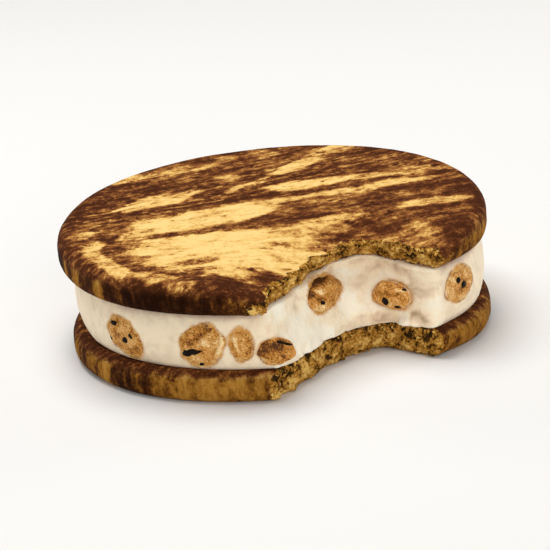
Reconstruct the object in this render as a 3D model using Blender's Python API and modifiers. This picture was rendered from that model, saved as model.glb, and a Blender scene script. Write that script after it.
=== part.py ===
"""Round ice cream sandwich with one bite taken out of it.

Two marbled cookies hold a slab of ice cream, and lumps of cookie dough show at the
slab's side and in the bite. Metres, +Z up. The origin is at the middle of the
footprint, on the surface that the sandwich lies on, and the bite faces -Y and +X.
"""

import math

import bmesh
import bpy
from mathutils import Matrix, Vector, noise

MM = 0.001

# Cookies
BOTTOM_RADIUS = 42.1 * MM
BOTTOM_THICKNESS = 6.0 * MM
BOTTOM_CENTRE_X = 0.4 * MM
TOP_RADIUS = 42.8 * MM
TOP_THICKNESS = 6.5 * MM
TOP_TILT = math.radians(1.8)    # the far side of the top cookie sits higher
EDGE_ROUND_TOP = 2.6 * MM       # rounding where a cookie's top meets its rim
EDGE_ROUND_FOOT = 2.3 * MM
EDGE_STEPS = 3
RIM_UNEVEN = 0.35 * MM          # how far a rim strays from a true circle
RIM_LOBES = 0.4                 # share of a three-sided wave beside the four-sided one
BOTTOM_RIM_TURN = 0.8           # where the lobes lie, in radians
TOP_RIM_TURN = 2.3
HORN_FLAT = 1.6 * MM            # every rim lies flatter beside the bite's right end
HORN_HEADING = math.radians(-42)
HORN_SPREAD = math.radians(13)

# Slab of ice cream
SLAB_THICKNESS = 11.9 * MM      # at the middle
SLAB_CONTACT_RADIUS = 39.8 * MM
SLAB_BULGE = 1.3 * MM           # the side swells past the contact radius
SLAB_CENTRE_X = 0.75 * MM
SLAB_FULLNESS = 0.7             # below 1 the side bulges early and stays full
SLAB_SIDE_STEPS = 5
SLAB_RIM_TURN = 4.1

TURN_STEPS = 60
WELD_DISTANCE = 0.01 * MM
SMOOTH_UP_TO = math.radians(35)
GAP = 0.3 * MM                  # space between touching pieces

# Bite: an arch across the rim, in the bite's own plan frame
BITE_HEADING = math.radians(-67.7)
BITE_HALF_WIDTH = 19.5 * MM
BITE_STEPS = 36
BITE_CLEAR = 14.0 * MM          # how far the cutters run out past the rim
CUTTER_OVERSHOOT = 3.0 * MM     # and past the upper and lower face
TOOTH_WIDTH = 6.5 * MM
TOOTH_DEPTH = 0.7 * MM
# Share of the half width, share of the full depth. The deepest point is right of the middle.
BITE_ARCH = (
    (-1.0, -0.10),
    (-0.89, 0.27),
    (-0.67, 0.44),
    (-0.41, 0.63),
    (-0.15, 0.83),
    (0.15, 0.96),
    (0.42, 1.00),
    (0.60, 0.92),
    (0.71, 0.70),
    (0.80, 0.48),
    (0.90, 0.27),
    (1.0, -0.10),
)
# Full depth of the bite at the lower and the upper face of each layer
BOTTOM_BITE = (17.6 * MM, 16.4 * MM)
SLAB_BITE = (17.0 * MM, 23.4 * MM)
TOP_BITE = (22.6 * MM, 18.6 * MM)
TOP_DIP = 2.5 * MM              # the top cookie's upper face sags towards the bite
TOP_DIP_REACH = 11.0 * MM
TOP_FACE_RINGS = (0.0, 0.3, 0.45, 0.6, 0.72, 0.83)  # shares of the radius, to carry the dip

# Dough lumps
LUMP_FINENESS = 3
LUMP_UNEVEN = 0.13
LUMP_WAVES = 1.6                # dents across a lump
LUMP_APART = 7.0                # step between the lumps' places in the noise
LUMP_SINK = 0.5 * MM            # how far a lump's middle lies behind the slab's side
# Lumps cut flush with the slab's side: heading in degrees, height above the slab's
# foot, half width, half height, half depth, lean in degrees
SIDE_LUMPS = {
    "left": (-138.0, 4.4, 5.4, 3.8, 4.2, -28.0),
    "front_large": (-112.6, 4.8, 5.1, 4.2, 4.5, 35.0),
    "front_small": (-101.9, 5.2, 2.6, 3.4, 3.2, 0.0),
    "front_flat": (-93.0, 3.4, 3.5, 2.7, 3.0, 0.0),
    "right": (-31.8, 6.7, 4.9, 3.4, 4.0, 8.0),
    "far_right": (15.0, 5.2, 4.4, 3.3, 3.8, -8.0),
    "back_right": (46.0, 8.2, 3.2, 2.8, 3.0, 20.0),
    "back": (79.0, 5.6, 5.1, 4.0, 4.2, 6.0),
    "back_left": (113.0, 8.9, 3.7, 3.2, 3.4, -15.0),
    "far_left": (150.0, 5.0, 4.8, 3.5, 3.9, 12.0),
}
# Lumps standing out of the bitten face: place in plan, height above the slab's foot,
# half length, half depth, half height, heading of the length in degrees
BITE_LUMPS = {
    "bite_round": (6.9, -20.9, 7.2, 6.3, 4.6, 4.0, 45.0),
    "bite_oval": (22.3, -18.6, 4.8, 4.7, 3.1, 3.0, -36.0),
}

SLAB_FOOT = BOTTOM_THICKNESS + GAP
TOP_FOOT = SLAB_FOOT + SLAB_THICKNESS + GAP

MARBLED = ("marbled_cookie", (0.42, 0.24, 0.10, 1.0), 0.75)
ICE_CREAM = ("ice_cream", (0.87, 0.80, 0.70, 1.0), 0.45)
DOUGH = ("cookie_dough", (0.58, 0.32, 0.14, 1.0), 0.65)


def clear_scene():
    for obj in list(bpy.data.objects):
        bpy.data.objects.remove(obj, do_unlink=True)


def new_collection(name):
    collection = bpy.data.collections.new(name)
    bpy.context.scene.collection.children.link(collection)
    return collection


def new_material(name, colour, roughness):
    material = bpy.data.materials.new(name)
    material.use_nodes = True
    shader = material.node_tree.nodes["Principled BSDF"]
    shader.inputs["Base Color"].default_value = colour
    shader.inputs["Roughness"].default_value = roughness
    shader.inputs["Metallic"].default_value = 0.0
    return material


def add_object(name, mesh, collection, material=None):
    obj = bpy.data.objects.new(name, mesh)
    collection.objects.link(obj)
    if material:
        mesh.materials.clear()
        mesh.materials.append(material)
    return obj


def mark_as_cutter(obj):
    obj.hide_render = True
    obj.display_type = "WIRE"
    return obj


def smooth_value(anchors, x):
    """The value at x of a smooth curve through (x, value) anchors."""
    last = len(anchors) - 1
    i = max(0, min(last - 1, sum(1 for a in anchors if a[0] <= x) - 1))

    def slope(k):
        before, after = anchors[max(0, k - 1)], anchors[min(last, k + 1)]
        return (after[1] - before[1]) / (after[0] - before[0])

    (x0, y0), (x1, y1) = anchors[i], anchors[i + 1]
    width = x1 - x0
    t = (x - x0) / width
    return (
        y0 * (1 + 2 * t) * (1 - t) ** 2
        + y1 * t * t * (3 - 2 * t)
        + slope(i) * width * t * (1 - t) ** 2
        - slope(i + 1) * width * t * t * (1 - t)
    )


def ease(t):
    t = max(0.0, min(1.0, t))
    return t * t * (3 - 2 * t)


def bite_point(across, depth):
    """Plan position of the bite's edge, at a share of its half width."""
    inward = Vector((-math.cos(BITE_HEADING), -math.sin(BITE_HEADING)))
    along = Vector((inward.y, -inward.x))
    start = inward * -(BOTTOM_RADIUS) + Vector((BOTTOM_CENTRE_X, 0))
    tooth = abs(math.sin(math.pi * across * BITE_HALF_WIDTH / TOOTH_WIDTH)) - 0.5
    reach = depth * smooth_value(BITE_ARCH, across) + TOOTH_DEPTH * tooth
    return start + along * across * BITE_HALF_WIDTH + inward * reach


def bite_edge(depth):
    steps = range(BITE_STEPS + 1)
    return [bite_point(2 * i / BITE_STEPS - 1, depth) for i in steps]


def bite_outline(depth):
    """The bite's edge, closed well outside the rim."""
    outward = Vector((math.cos(BITE_HEADING), math.sin(BITE_HEADING)))
    edge = bite_edge(depth)
    side = (edge[-1] - edge[0]).normalized() * BITE_CLEAR
    away = outward * BITE_CLEAR
    return edge + [edge[-1] + away + side, edge[0] + away - side]


def bite_cutter(name, collection, levels, depths):
    """A loft between the bite's outlines at two heights, carried on past both."""
    low, high = levels
    lean = (depths[1] - depths[0]) / (high - low)
    mesh = bmesh.new()
    rings = []
    for z in (low - CUTTER_OVERSHOOT, high + CUTTER_OVERSHOOT):
        outline = bite_outline(depths[0] + lean * (z - low))
        rings.append([mesh.verts.new((p.x, p.y, z)) for p in outline])
    foot, head = rings
    count = len(foot)
    for i in range(count):
        j = (i + 1) % count
        mesh.faces.new((foot[i], foot[j], head[j], head[i]))
    mesh.faces.new(foot[::-1])
    mesh.faces.new(head)
    bmesh.ops.recalc_face_normals(mesh, faces=mesh.faces)
    data = bpy.data.meshes.new(name)
    mesh.to_mesh(data)
    mesh.free()
    return mark_as_cutter(add_object(name, data, collection))


def turned_mesh(name, profile, collection):
    """A closed mesh turned from (radius, height) points that run from top to foot."""
    line = bpy.data.meshes.new(name)
    points = [(radius, 0.0, height) for radius, height in profile]
    line.from_pydata(points, [(i, i + 1) for i in range(len(points) - 1)], [])
    turning = add_object(name + "_profile", line, collection)
    screw = turning.modifiers.new("turn", "SCREW")
    screw.steps = TURN_STEPS
    screw.render_steps = TURN_STEPS
    screw.use_merge_vertices = True
    screw.merge_threshold = WELD_DISTANCE
    bpy.context.view_layer.update()
    graph = bpy.context.evaluated_depsgraph_get()
    mesh = bpy.data.meshes.new_from_object(turning.evaluated_get(graph))
    mesh.name = name
    bpy.data.objects.remove(turning, do_unlink=True)
    return mesh


def quarter_round(radius, height, rounding, start, end):
    """Points of a rounded edge about its centre, between two angles in degrees."""
    points = []
    for i in range(EDGE_STEPS + 1):
        angle = math.radians(start + (end - start) * i / EDGE_STEPS)
        points.append((radius + rounding * math.cos(angle), height + rounding * math.sin(angle)))
    return points


def cookie_profile(radius, thickness, face_rings=(0.0,)):
    face = [(radius * share, thickness) for share in face_rings]
    upper = quarter_round(
        radius - EDGE_ROUND_TOP, thickness - EDGE_ROUND_TOP, EDGE_ROUND_TOP, 90, 0
    )
    foot = quarter_round(radius - EDGE_ROUND_FOOT, EDGE_ROUND_FOOT, EDGE_ROUND_FOOT, 0, -90)
    return face + upper + foot + [(0.0, 0.0)]


def slab_profile():
    side = []
    for i in range(SLAB_SIDE_STEPS + 1):
        share = 1 - i / SLAB_SIDE_STEPS
        swell = SLAB_BULGE * math.sin(math.pi * share) ** SLAB_FULLNESS if 0 < share < 1 else 0.0
        side.append((SLAB_CONTACT_RADIUS + swell, SLAB_THICKNESS * share))
    return [(0.0, SLAB_THICKNESS)] + side + [(0.0, 0.0)]


def roughen_rim(mesh, turn):
    """Takes the outline slightly out of round, most at the rim."""
    for vertex in mesh.vertices:
        heading = math.atan2(vertex.co.y, vertex.co.x)
        wave = RIM_LOBES * math.cos(3 * heading + turn) - math.cos(4 * heading)
        flat = math.exp(-(((heading - HORN_HEADING) / HORN_SPREAD) ** 2))
        scale = 1 + (RIM_UNEVEN * wave - HORN_FLAT * flat) / BOTTOM_RADIUS
        vertex.co.x *= scale
        vertex.co.y *= scale


def dip_towards_bite(mesh):
    """Lowers the upper face of the top cookie near the bite."""
    edge = bite_edge(TOP_BITE[1])
    for vertex in mesh.vertices:
        away = min((vertex.co.xy - point).length for point in edge)
        share = vertex.co.z / TOP_THICKNESS
        vertex.co.z -= TOP_DIP * share * (1 - ease(away / TOP_DIP_REACH))


def centred(mesh):
    """Moves the mesh so that its bounding box is centred over its origin."""
    lows = [min(v.co[axis] for v in mesh.vertices) for axis in (0, 1)]
    highs = [max(v.co[axis] for v in mesh.vertices) for axis in (0, 1)]
    shift = Matrix.Translation((-(lows[0] + highs[0]) / 2, -(lows[1] + highs[1]) / 2, 0))
    mesh.transform(shift)


def smooth(mesh):
    mesh.shade_smooth()
    mesh.set_sharp_from_angle(angle=SMOOTH_UP_TO)


def cut_with(obj, cutter):
    cut = obj.modifiers.new("cut_" + cutter.name, "BOOLEAN")
    cut.operation = "DIFFERENCE"
    cut.solver = "EXACT"
    cut.object = cutter


def add_bottom_cookie(parts, cutters, material):
    mesh = turned_mesh("bottom_cookie", cookie_profile(BOTTOM_RADIUS, BOTTOM_THICKNESS), parts)
    roughen_rim(mesh, BOTTOM_RIM_TURN)
    centred(mesh)
    smooth(mesh)
    cookie = add_object("bottom_cookie", mesh, parts, material)
    cookie.location = (BOTTOM_CENTRE_X, 0, 0)
    levels = (0.0, BOTTOM_THICKNESS)
    cut_with(cookie, bite_cutter("bottom_bite", cutters, levels, BOTTOM_BITE))
    return cookie


def add_top_cookie(parts, cutters, material):
    profile = cookie_profile(TOP_RADIUS, TOP_THICKNESS, TOP_FACE_RINGS)
    mesh = turned_mesh("top_cookie", profile, parts)
    roughen_rim(mesh, TOP_RIM_TURN)
    centred(mesh)
    dip_towards_bite(mesh)
    smooth(mesh)
    cookie = add_object("top_cookie", mesh, parts, material)
    cookie.location = (0, 0, TOP_FOOT)
    cookie.rotation_euler = (TOP_TILT, 0, 0)
    levels = (TOP_FOOT, TOP_FOOT + TOP_THICKNESS)
    cut_with(cookie, bite_cutter("top_bite", cutters, levels, TOP_BITE))
    return cookie


def slab_mesh(parts):
    """The whole slab, its upper face leaning with the top cookie."""
    mesh = turned_mesh("ice_cream", slab_profile(), parts)
    roughen_rim(mesh, SLAB_RIM_TURN)
    centred(mesh)
    for vertex in mesh.vertices:
        share = vertex.co.z / SLAB_THICKNESS
        vertex.co.z += share * math.tan(TOP_TILT) * vertex.co.y
    mesh.transform(Matrix.Translation((SLAB_CENTRE_X, 0, SLAB_FOOT)))
    smooth(mesh)
    return mesh


def lump_mesh(name, half_sizes, seed, grow):
    """An uneven lump about the origin, grown outward for the pocket that holds it."""
    mesh = bmesh.new()
    bmesh.ops.create_icosphere(mesh, subdivisions=LUMP_FINENESS, radius=1.0)
    for vertex in mesh.verts:
        ray = vertex.co.normalized()
        dents = noise.noise(ray * LUMP_WAVES + Vector((LUMP_APART * seed, 0, 0)))
        swell = 1 + LUMP_UNEVEN * dents
        vertex.co = Vector([ray[i] * (half_sizes[i] * swell + grow) for i in range(3)])
    data = bpy.data.meshes.new(name)
    mesh.to_mesh(data)
    mesh.free()
    data.shade_smooth()
    return data


def side_lump_place(heading, height, lean):
    """Local X points out of the slab's side, and local Y runs round it."""
    turn = math.radians(heading)
    reach = SLAB_CONTACT_RADIUS + SLAB_BULGE - LUMP_SINK
    place = (SLAB_CENTRE_X + reach * math.cos(turn), reach * math.sin(turn), SLAB_FOOT + height)
    return (
        Matrix.Translation(place)
        @ Matrix.Rotation(turn, 4, "Z")
        @ Matrix.Rotation(math.radians(lean), 4, "X")
    )


def add_lump(name, place, half_sizes, seed, parts, pockets, material, trim=None):
    lump = add_object(name, lump_mesh(name, half_sizes, seed, 0.0), parts, material)
    lump.matrix_world = place
    pocket = add_object(
        name + "_pocket", lump_mesh(name + "_pocket", half_sizes, seed, GAP), pockets
    )
    pocket.matrix_world = place
    mark_as_cutter(pocket)
    if trim:
        flush = lump.modifiers.new("flush", "BOOLEAN")
        flush.operation = "INTERSECT"
        flush.solver = "EXACT"
        flush.object = trim
    return lump


def add_lumps(parts, pockets, material, slab_form):
    seed = 1
    for name, (heading, height, width, tall, deep, lean) in SIDE_LUMPS.items():
        place = side_lump_place(heading, height * MM, lean)
        sizes = (deep * MM, width * MM, tall * MM)
        add_lump("dough_" + name, place, sizes, seed, parts, pockets, material, slab_form)
        seed += 1
    for name, (x, y, height, length, deep, tall, heading) in BITE_LUMPS.items():
        place = Matrix.Translation((x * MM, y * MM, SLAB_FOOT + height * MM))
        place = place @ Matrix.Rotation(math.radians(heading), 4, "Z")
        sizes = (length * MM, deep * MM, tall * MM)
        add_lump("dough_" + name, place, sizes, seed, parts, pockets, material)
        seed += 1


def add_ice_cream(parts, cutters, pockets, material):
    mesh = slab_mesh(parts)
    slab_form = mark_as_cutter(add_object("slab_form", mesh.copy(), cutters))
    ice_cream = add_object("ice_cream", mesh, parts, material)
    levels = (SLAB_FOOT, SLAB_FOOT + SLAB_THICKNESS)
    cut_with(ice_cream, bite_cutter("slab_bite", cutters, levels, SLAB_BITE))
    seats = ice_cream.modifiers.new("pockets", "BOOLEAN")
    seats.operation = "DIFFERENCE"
    seats.solver = "EXACT"
    seats.operand_type = "COLLECTION"
    seats.collection = pockets
    return slab_form


def main():
    clear_scene()
    parts = new_collection("ice_cream_sandwich")
    cutters = new_collection("cutters")
    pockets = new_collection("pockets")
    marbled = new_material(*MARBLED)
    add_bottom_cookie(parts, cutters, marbled)
    slab_form = add_ice_cream(parts, cutters, pockets, new_material(*ICE_CREAM))
    add_lumps(parts, pockets, new_material(*DOUGH), slab_form)
    add_top_cookie(parts, cutters, marbled)


main()
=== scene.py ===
"""Looks of a round ice cream sandwich: two marbled cookies, a bitten slab of ice cream,
lumps of cookie dough with chocolate bits, and loose crumbs, over the packed solids.

Laid out as an add-on and run as a script. Forms are worked out in millimetres and go
to the meshes in metres, in the frame of the packed solids.
"""

import math
from dataclasses import dataclass

import bmesh
import bpy
import numpy as np
from mathutils import Matrix, Quaternion, Vector, noise
from mathutils.bvhtree import BVHTree
from mathutils.geometry import delaunay_2d_cdt
from mathutils.kdtree import KDTree


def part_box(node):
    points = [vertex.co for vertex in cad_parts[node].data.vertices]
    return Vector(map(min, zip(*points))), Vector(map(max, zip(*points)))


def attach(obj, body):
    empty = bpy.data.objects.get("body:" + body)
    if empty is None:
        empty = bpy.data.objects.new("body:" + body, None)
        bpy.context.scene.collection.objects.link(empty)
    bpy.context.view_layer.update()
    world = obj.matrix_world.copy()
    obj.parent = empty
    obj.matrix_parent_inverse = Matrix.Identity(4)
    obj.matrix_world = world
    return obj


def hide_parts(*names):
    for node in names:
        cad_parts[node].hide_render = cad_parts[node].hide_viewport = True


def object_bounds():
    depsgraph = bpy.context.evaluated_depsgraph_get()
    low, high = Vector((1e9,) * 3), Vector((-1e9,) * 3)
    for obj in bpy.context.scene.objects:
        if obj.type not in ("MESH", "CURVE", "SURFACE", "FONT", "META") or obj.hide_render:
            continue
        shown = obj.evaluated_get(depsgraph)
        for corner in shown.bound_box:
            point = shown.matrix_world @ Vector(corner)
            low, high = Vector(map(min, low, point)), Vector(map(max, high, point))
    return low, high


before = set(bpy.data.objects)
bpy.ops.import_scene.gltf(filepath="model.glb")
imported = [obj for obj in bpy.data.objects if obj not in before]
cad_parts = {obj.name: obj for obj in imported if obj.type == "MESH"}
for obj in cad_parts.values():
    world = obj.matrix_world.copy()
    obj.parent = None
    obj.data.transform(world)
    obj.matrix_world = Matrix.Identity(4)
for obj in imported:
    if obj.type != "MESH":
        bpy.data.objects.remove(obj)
SOLIDS_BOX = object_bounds()

bl_info = {
    "name": "Ice cream sandwich",
    "version": (1, 0, 0),
    "blender": (4, 5, 0),
    "location": "3D View > Sidebar > Sandwich",
    "description": "Builds a bitten ice cream sandwich of two marbled cookies",
    "category": "Add Mesh",
}

MM = 0.001

# ---------------------------------------------------------------- form, in mm
# Shared with the packed solids
EDGE_ROUND_TOP = 2.6
EDGE_ROUND_FOOT = 2.3
RIM_UNEVEN = 0.35
RIM_LOBES = 0.4
BOTTOM_RIM_TURN = 0.8
TOP_RIM_TURN = 2.3
SLAB_RIM_TURN = 4.1
HORN_FLAT = 1.6                         # every rim lies flatter beside the bite's right end
HORN_HEADING = math.radians(-42)
HORN_SPREAD = math.radians(13)
TILT = math.tan(math.radians(1.8))      # the top cookie rises away from the bite
SLAB_THICKNESS = 11.9
TOP_THICKNESS = 6.5
GAP = 0.3
SLAB_BULGE = 1.3
SLAB_FULLNESS = 0.7
BITE_HEADING = math.radians(-67.7)
BITE_HALF_WIDTH = 19.5
TOOTH_WIDTH = 6.5
TOOTH_DEPTH = 0.7
# Share of the half width, share of the full depth
BITE_ARCH = (
    (-1.0, -0.10),
    (-0.89, 0.27),
    (-0.67, 0.44),
    (-0.41, 0.63),
    (-0.15, 0.83),
    (0.15, 0.96),
    (0.42, 1.00),
    (0.60, 0.92),
    (0.71, 0.70),
    (0.80, 0.48),
    (0.90, 0.27),
    (1.0, -0.10),
)
BOTTOM_BITE = (17.6, 16.4)              # full depth at the lower and the upper face
SLAB_BITE = (17.0, 23.4)
TOP_BITE = (22.6, 18.6)
TOP_DIP = 2.5
TOP_DIP_REACH = 11.0

HORN_WEAR = 1.4                         # the cookies' lower edges are worn there
BITE_ROUND = (1.5, 0.7)                 # rounding of the bitten wall at foot and top
FOOT_WEAR_RIGHT = 1.1                   # more of it at the foot towards the bite's right end
CORNER_ROUND = 1.9                      # softness of the slab's corners at the bite's ends
COOKIE_CORNER_ROUND = 1.0
SLAB_TOOTH = 0.35                       # tooth marks are fainter in the ice cream

# Fineness of the meshes
BITE_STEPS = 340                        # points along the bite
RIM_STEPS = 680                         # points round the rest of the rim
ROUND_STEPS = 11
WALL_STEPS = 8
SLAB_STEPS = 38
SKIN_SPACING = 0.62                     # between points of a face that shows
HIDDEN_SPACING = 2.4
LUMP_FINENESS = 6

# Dough lumps, as packed: heading, height over the slab's foot, half width, half height,
# half depth, lean, in mm and degrees
SIDE_LUMPS = {
    "left": (-138.0, 4.4, 5.4, 3.8, 4.2, -28.0),
    "front_large": (-112.6, 4.8, 5.1, 4.2, 4.5, 35.0),
    "front_small": (-101.9, 5.2, 2.6, 3.4, 3.2, 0.0),
    "front_flat": (-93.0, 3.4, 3.5, 2.7, 3.0, 0.0),
    "right": (-31.8, 6.7, 4.9, 3.4, 4.0, 8.0),
    "far_right": (15.0, 5.2, 4.4, 3.3, 3.8, -8.0),
    "back_right": (46.0, 8.2, 3.2, 2.8, 3.0, 20.0),
    "back": (79.0, 5.6, 5.1, 4.0, 4.2, 6.0),
    "back_left": (113.0, 8.9, 3.7, 3.2, 3.4, -15.0),
    "far_left": (150.0, 5.0, 4.8, 3.5, 3.9, 12.0),
}
# Place in plan, height over the slab's foot, half length, half depth, half height, heading
BITE_LUMPS = {
    "bite_round": (6.1, -21.7, 7.2, 7.0, 4.6, 4.0, 45.0),
    "bite_oval": (22.3, -18.6, 4.8, 4.7, 3.1, 3.0, -36.0),
}
LUMP_UNEVEN = 0.13
LUMP_WAVES = 1.6
LUMP_APART = 7.0
LUMP_SINK = 0.5
LUMP_COVER = 1.0                        # a lump reaches this far over its pocket's edge
SEAM_SINK = 0.17                        # a lump's edge lies this far under the cream
DOUGH_FADE = 0.9                        # the dough fades into the cream over twice this
LUMP_PROUD = 0.12                       # and stands this far out of the slab's side

# Marbling: x, y, half length, half width, heading in degrees, strength
TOP_GOLD = (
    (-17, -3.2, 11, 5.6, 12, 1.3),
    (-5, -0.2, 8, 5.8, 8, 1.3),
    (-26, -8.5, 5, 3, 30, 0.8),
    (-21.5, -17, 5.5, 5.6, 0, 1.2),
    (-12, -17, 15.5, 6.4, 3, 1.35),
    (-11, -26.5, 14, 7, -12, 1.35),
    (-5, -32, 10, 3.6, 2, 1.1),
    (4, -16, 6, 5, 20, 0.6),
    (10, -10.2, 10, 2.0, 15, 0.65),
    (4, -25.5, 8, 5.5, 0, 0.8),
    (12, -22, 7, 4.5, -20, 0.15),
    (-34, -17, 7, 2.4, -75, 1.0),
    (-30.5, -26, 6, 2.4, -58, 0.9),
    (-23.5, -33, 6, 2, -38, 0.5),
    (-22, 11.5, 8.5, 3, 22, 0.85),
    (-28.5, 9, 3.5, 2.2, 30, 0.7),
    (-20, 30, 8.5, 3.2, 12, 0.35),
    (-27, 27.5, 5, 3, 30, 0.35),
    (-4, 16.5, 6, 1.2, 42, 0.8),
    (6, 25.5, 7.5, 2.3, 40, 1.0),
    (9, 13.8, 10, 2.8, 8, 1.15),
    (20, 15, 8, 2, 6, 0.6),
    (32, 16, 10, 2.5, 8, 0.3),
    (14.5, 34.5, 6, 3, 38, 0.65),
    (17, 7.2, 12, 2, 12, 0.55),
    (28, 9.8, 9, 1.6, 8, 0.45),
    (6, 4.5, 6, 1.5, 10, 0.2),
    (33, -5.2, 8, 2.4, 5, 0.75),
    (-0.5, 35.5, 3.2, 3.4, 60, 0.2),
    (-8, 35.5, 2.5, 3, 70, 0),
    (-8, 22, 3.2, 1.8, 12, 0.2),
    (35, 20, 7, 5, -30, -0.5),
    (25, -20, 8, 5, -20, 0.15),
    (28, -27, 4, 3, -40, 0.25),
    (20, -23, 5, 2.5, -20, 0.2),
    (-36.5, -6, 3.5, 1.8, 10, 0.35),
    (-36.5, 0.5, 2.5, 2, 60, 0),
    (-3, -39.5, 4, 1.6, 0, 0.1),
    (-17, -38.5, 4, 1.6, -15, 0.35),
    (14, 2.5, 8, 2.5, 10, -0.1),
    (25, 24, 14, 4, -15, -0.6),
    (-16, 24, 12, 3, 5, -0.6),
    (-34, -1, 8, 5, 80, -0.6),
    (0, 31, 15, 6, 0, -0.6),
)
TOP_DARK = (
    (5, -5, 8, 3.6, 15, 1.0),
    (-12, -10.3, 8.5, 0.8, 3, 0.7),
    (-1, -8.5, 3.5, 1.4, 30, 0.6),
    (-15.5, -27, 3.6, 2.3, -5, 0.6),
    (-14, -31.5, 2.6, 1.2, 0, 0.6),
    (-31, -17, 7, 1.1, -70, 0.7),
    (26, 2, 10, 3.2, 6, 0.9),
    (33, -12, 8, 4, -5, 0.7),
    (20, -13, 9, 2.5, -10, 0.45),
    (-22, 19, 12, 2.3, 8, 0.6),
    (-24, 5, 9, 1.8, 18, 0.7),
    (-28, -36, 8, 1.8, -35, 0.9),
    (-7, -39, 10, 2.0, -3, 0.9),
    (1.5, -36, 6.5, 2.8, -22, 0.9),
    (13, 21, 9, 1.3, 10, 0.6),
    (24, 12, 8, 0.9, 8, 0.4),
    (6, 10, 8, 1, 5, 0.4),
    (34, -26, 5, 3, -50, 0.5),
)
MARBLE_DEPTH = 0.6                      # strength of plain golden or plain chocolate dough
# Painted shade: the face darkens towards the rim.
PAINTED_EDGE_SHADE = 0.2                         # darker towards the rim
# Golden stretches of the rims: heading, half width in degrees, strength
TOP_RIM_GOLD = ((-153, 4, 0.4), (-160, 2, 0.4), (-141, 3, 0.2), (-95, 4, 0.2), (-15, 26, 0.3),
                (-41, 8, 0.3), (20, 12, 0.5), (75, 18, 0.6), (110, 7, 0.7), (165, 9, 0.4))
BOTTOM_RIM_GOLD = ((-100, 24, 1.15), (-146, 5, 0.7), (-165, 7, 0.3), (-28, 22, 0.45), (15, 8, 0.8),
                   (60, 14, 0.7), (100, 6, 0.9), (140, 12, 0.6))
BOTTOM_GOLD = (
    (-4.0, -42.0, 16.0, 1.5, 4, 0.3),
    (-28.0, 12.0, 15.0, 6.0, 22, 0.8),
    (12.0, 24.0, 18.0, 5.0, 12, 0.9),
    (22.0, -2.0, 14.0, 3.0, 8, 0.7),
    (-12.0, -12.0, 18.0, 5.0, 16, 0.9),
)


def box_mm(node):
    low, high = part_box(node)
    return np.array(low) / MM, np.array(high) / MM


def ease(value):
    value = np.clip(value, 0.0, 1.0)
    return value * value * (3 - 2 * value)


def fractal(points, size, octaves=3, seed=0):
    """Uneven waves of about -1 to 1, the largest of them `size` mm across."""
    shift = Vector((31.7 * seed, 0.0, 0.0))
    return np.array([
        noise.fractal(Vector(point) + shift, 1.0, 2.0, octaves) for point in points / size
    ])


def cells(points, size, seed=0):
    """Distance to the nearest of scattered points, in shares of their spacing."""
    shift = Vector((31.7 * seed, 0.0, 0.0))
    return np.array([noise.voronoi(Vector(point) + shift)[0][0] for point in points / size])


def arch_share(across):
    """A smooth curve through BITE_ARCH."""
    xs, ys = np.array(BITE_ARCH).T
    slopes = np.gradient(ys)
    slopes[1:-1] = (ys[2:] - ys[:-2]) / (xs[2:] - xs[:-2])
    slopes[0] = (ys[1] - ys[0]) / (xs[1] - xs[0])
    slopes[-1] = (ys[-1] - ys[-2]) / (xs[-1] - xs[-2])
    i = np.clip(np.searchsorted(xs, across, side="right") - 1, 0, len(xs) - 2)
    width = xs[i + 1] - xs[i]
    t = (across - xs[i]) / width
    return (
        ys[i] * (1 + 2 * t) * (1 - t) ** 2
        + ys[i + 1] * t * t * (3 - 2 * t)
        + slopes[i] * width * t * (1 - t) ** 2
        - slopes[i + 1] * width * t * t * (1 - t)
    )


def nearest(points, others):
    """Plan distance from each point to the nearest of the others."""
    found = np.empty(len(points))
    for start in range(0, len(points), 4000):
        part = points[start:start + 4000, None, :2] - others[None, :, :2]
        found[start:start + 4000] = np.sqrt((part ** 2).sum(2).min(1))
    return found


def within(points, outline):
    """Which points lie inside a closed plan outline."""
    x, y = points[:, :1], points[:, 1:2]
    (x0, y0), (x1, y1) = outline[:, :2].T, np.roll(outline[:, :2], -1, axis=0).T
    crossed = (y0 > y) != (y1 > y)
    rise = np.where(y1 == y0, 1.0, y1 - y0)
    return (crossed & (x < x0 + (x1 - x0) * (y - y0) / rise)).sum(1) % 2 == 1


def softened(outline, size):
    """A closed outline with its corners at the bite's two ends rounded off."""
    count = len(outline)
    steps = np.hypot(*(np.roll(outline, -1, axis=0) - outline).T)
    run = np.concatenate(([0], np.cumsum(steps)))
    even = np.linspace(0, run[-1], 2 * count + 1)[:-1]
    closed = np.concatenate((outline, outline[:1]))
    level = np.stack([np.interp(even, run, closed[:, axis]) for axis in (0, 1)], 1)
    spacing = run[-1] / len(level)
    away = np.minimum(np.arange(len(level)), len(level) - np.arange(len(level))) * spacing
    kernel = np.exp(-((away / size) ** 2))
    turned = np.fft.fft(kernel / kernel.sum())[:, None]
    smooth = np.fft.ifft(np.fft.fft(level, axis=0) * turned, axis=0).real
    at = run[:-1]
    smooth = np.stack([np.interp(at, even, smooth[:, axis], period=run[-1]) for axis in (0, 1)], 1)
    corners = run[[0, BITE_STEPS - 1]]
    gap = np.abs(at[:, None] - corners)
    near = np.minimum(gap, run[-1] - gap).min(1)
    share = (1 - ease((near - size) / (2 * size)))[:, None]
    return outline * (1 - share) + smooth * share


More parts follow.
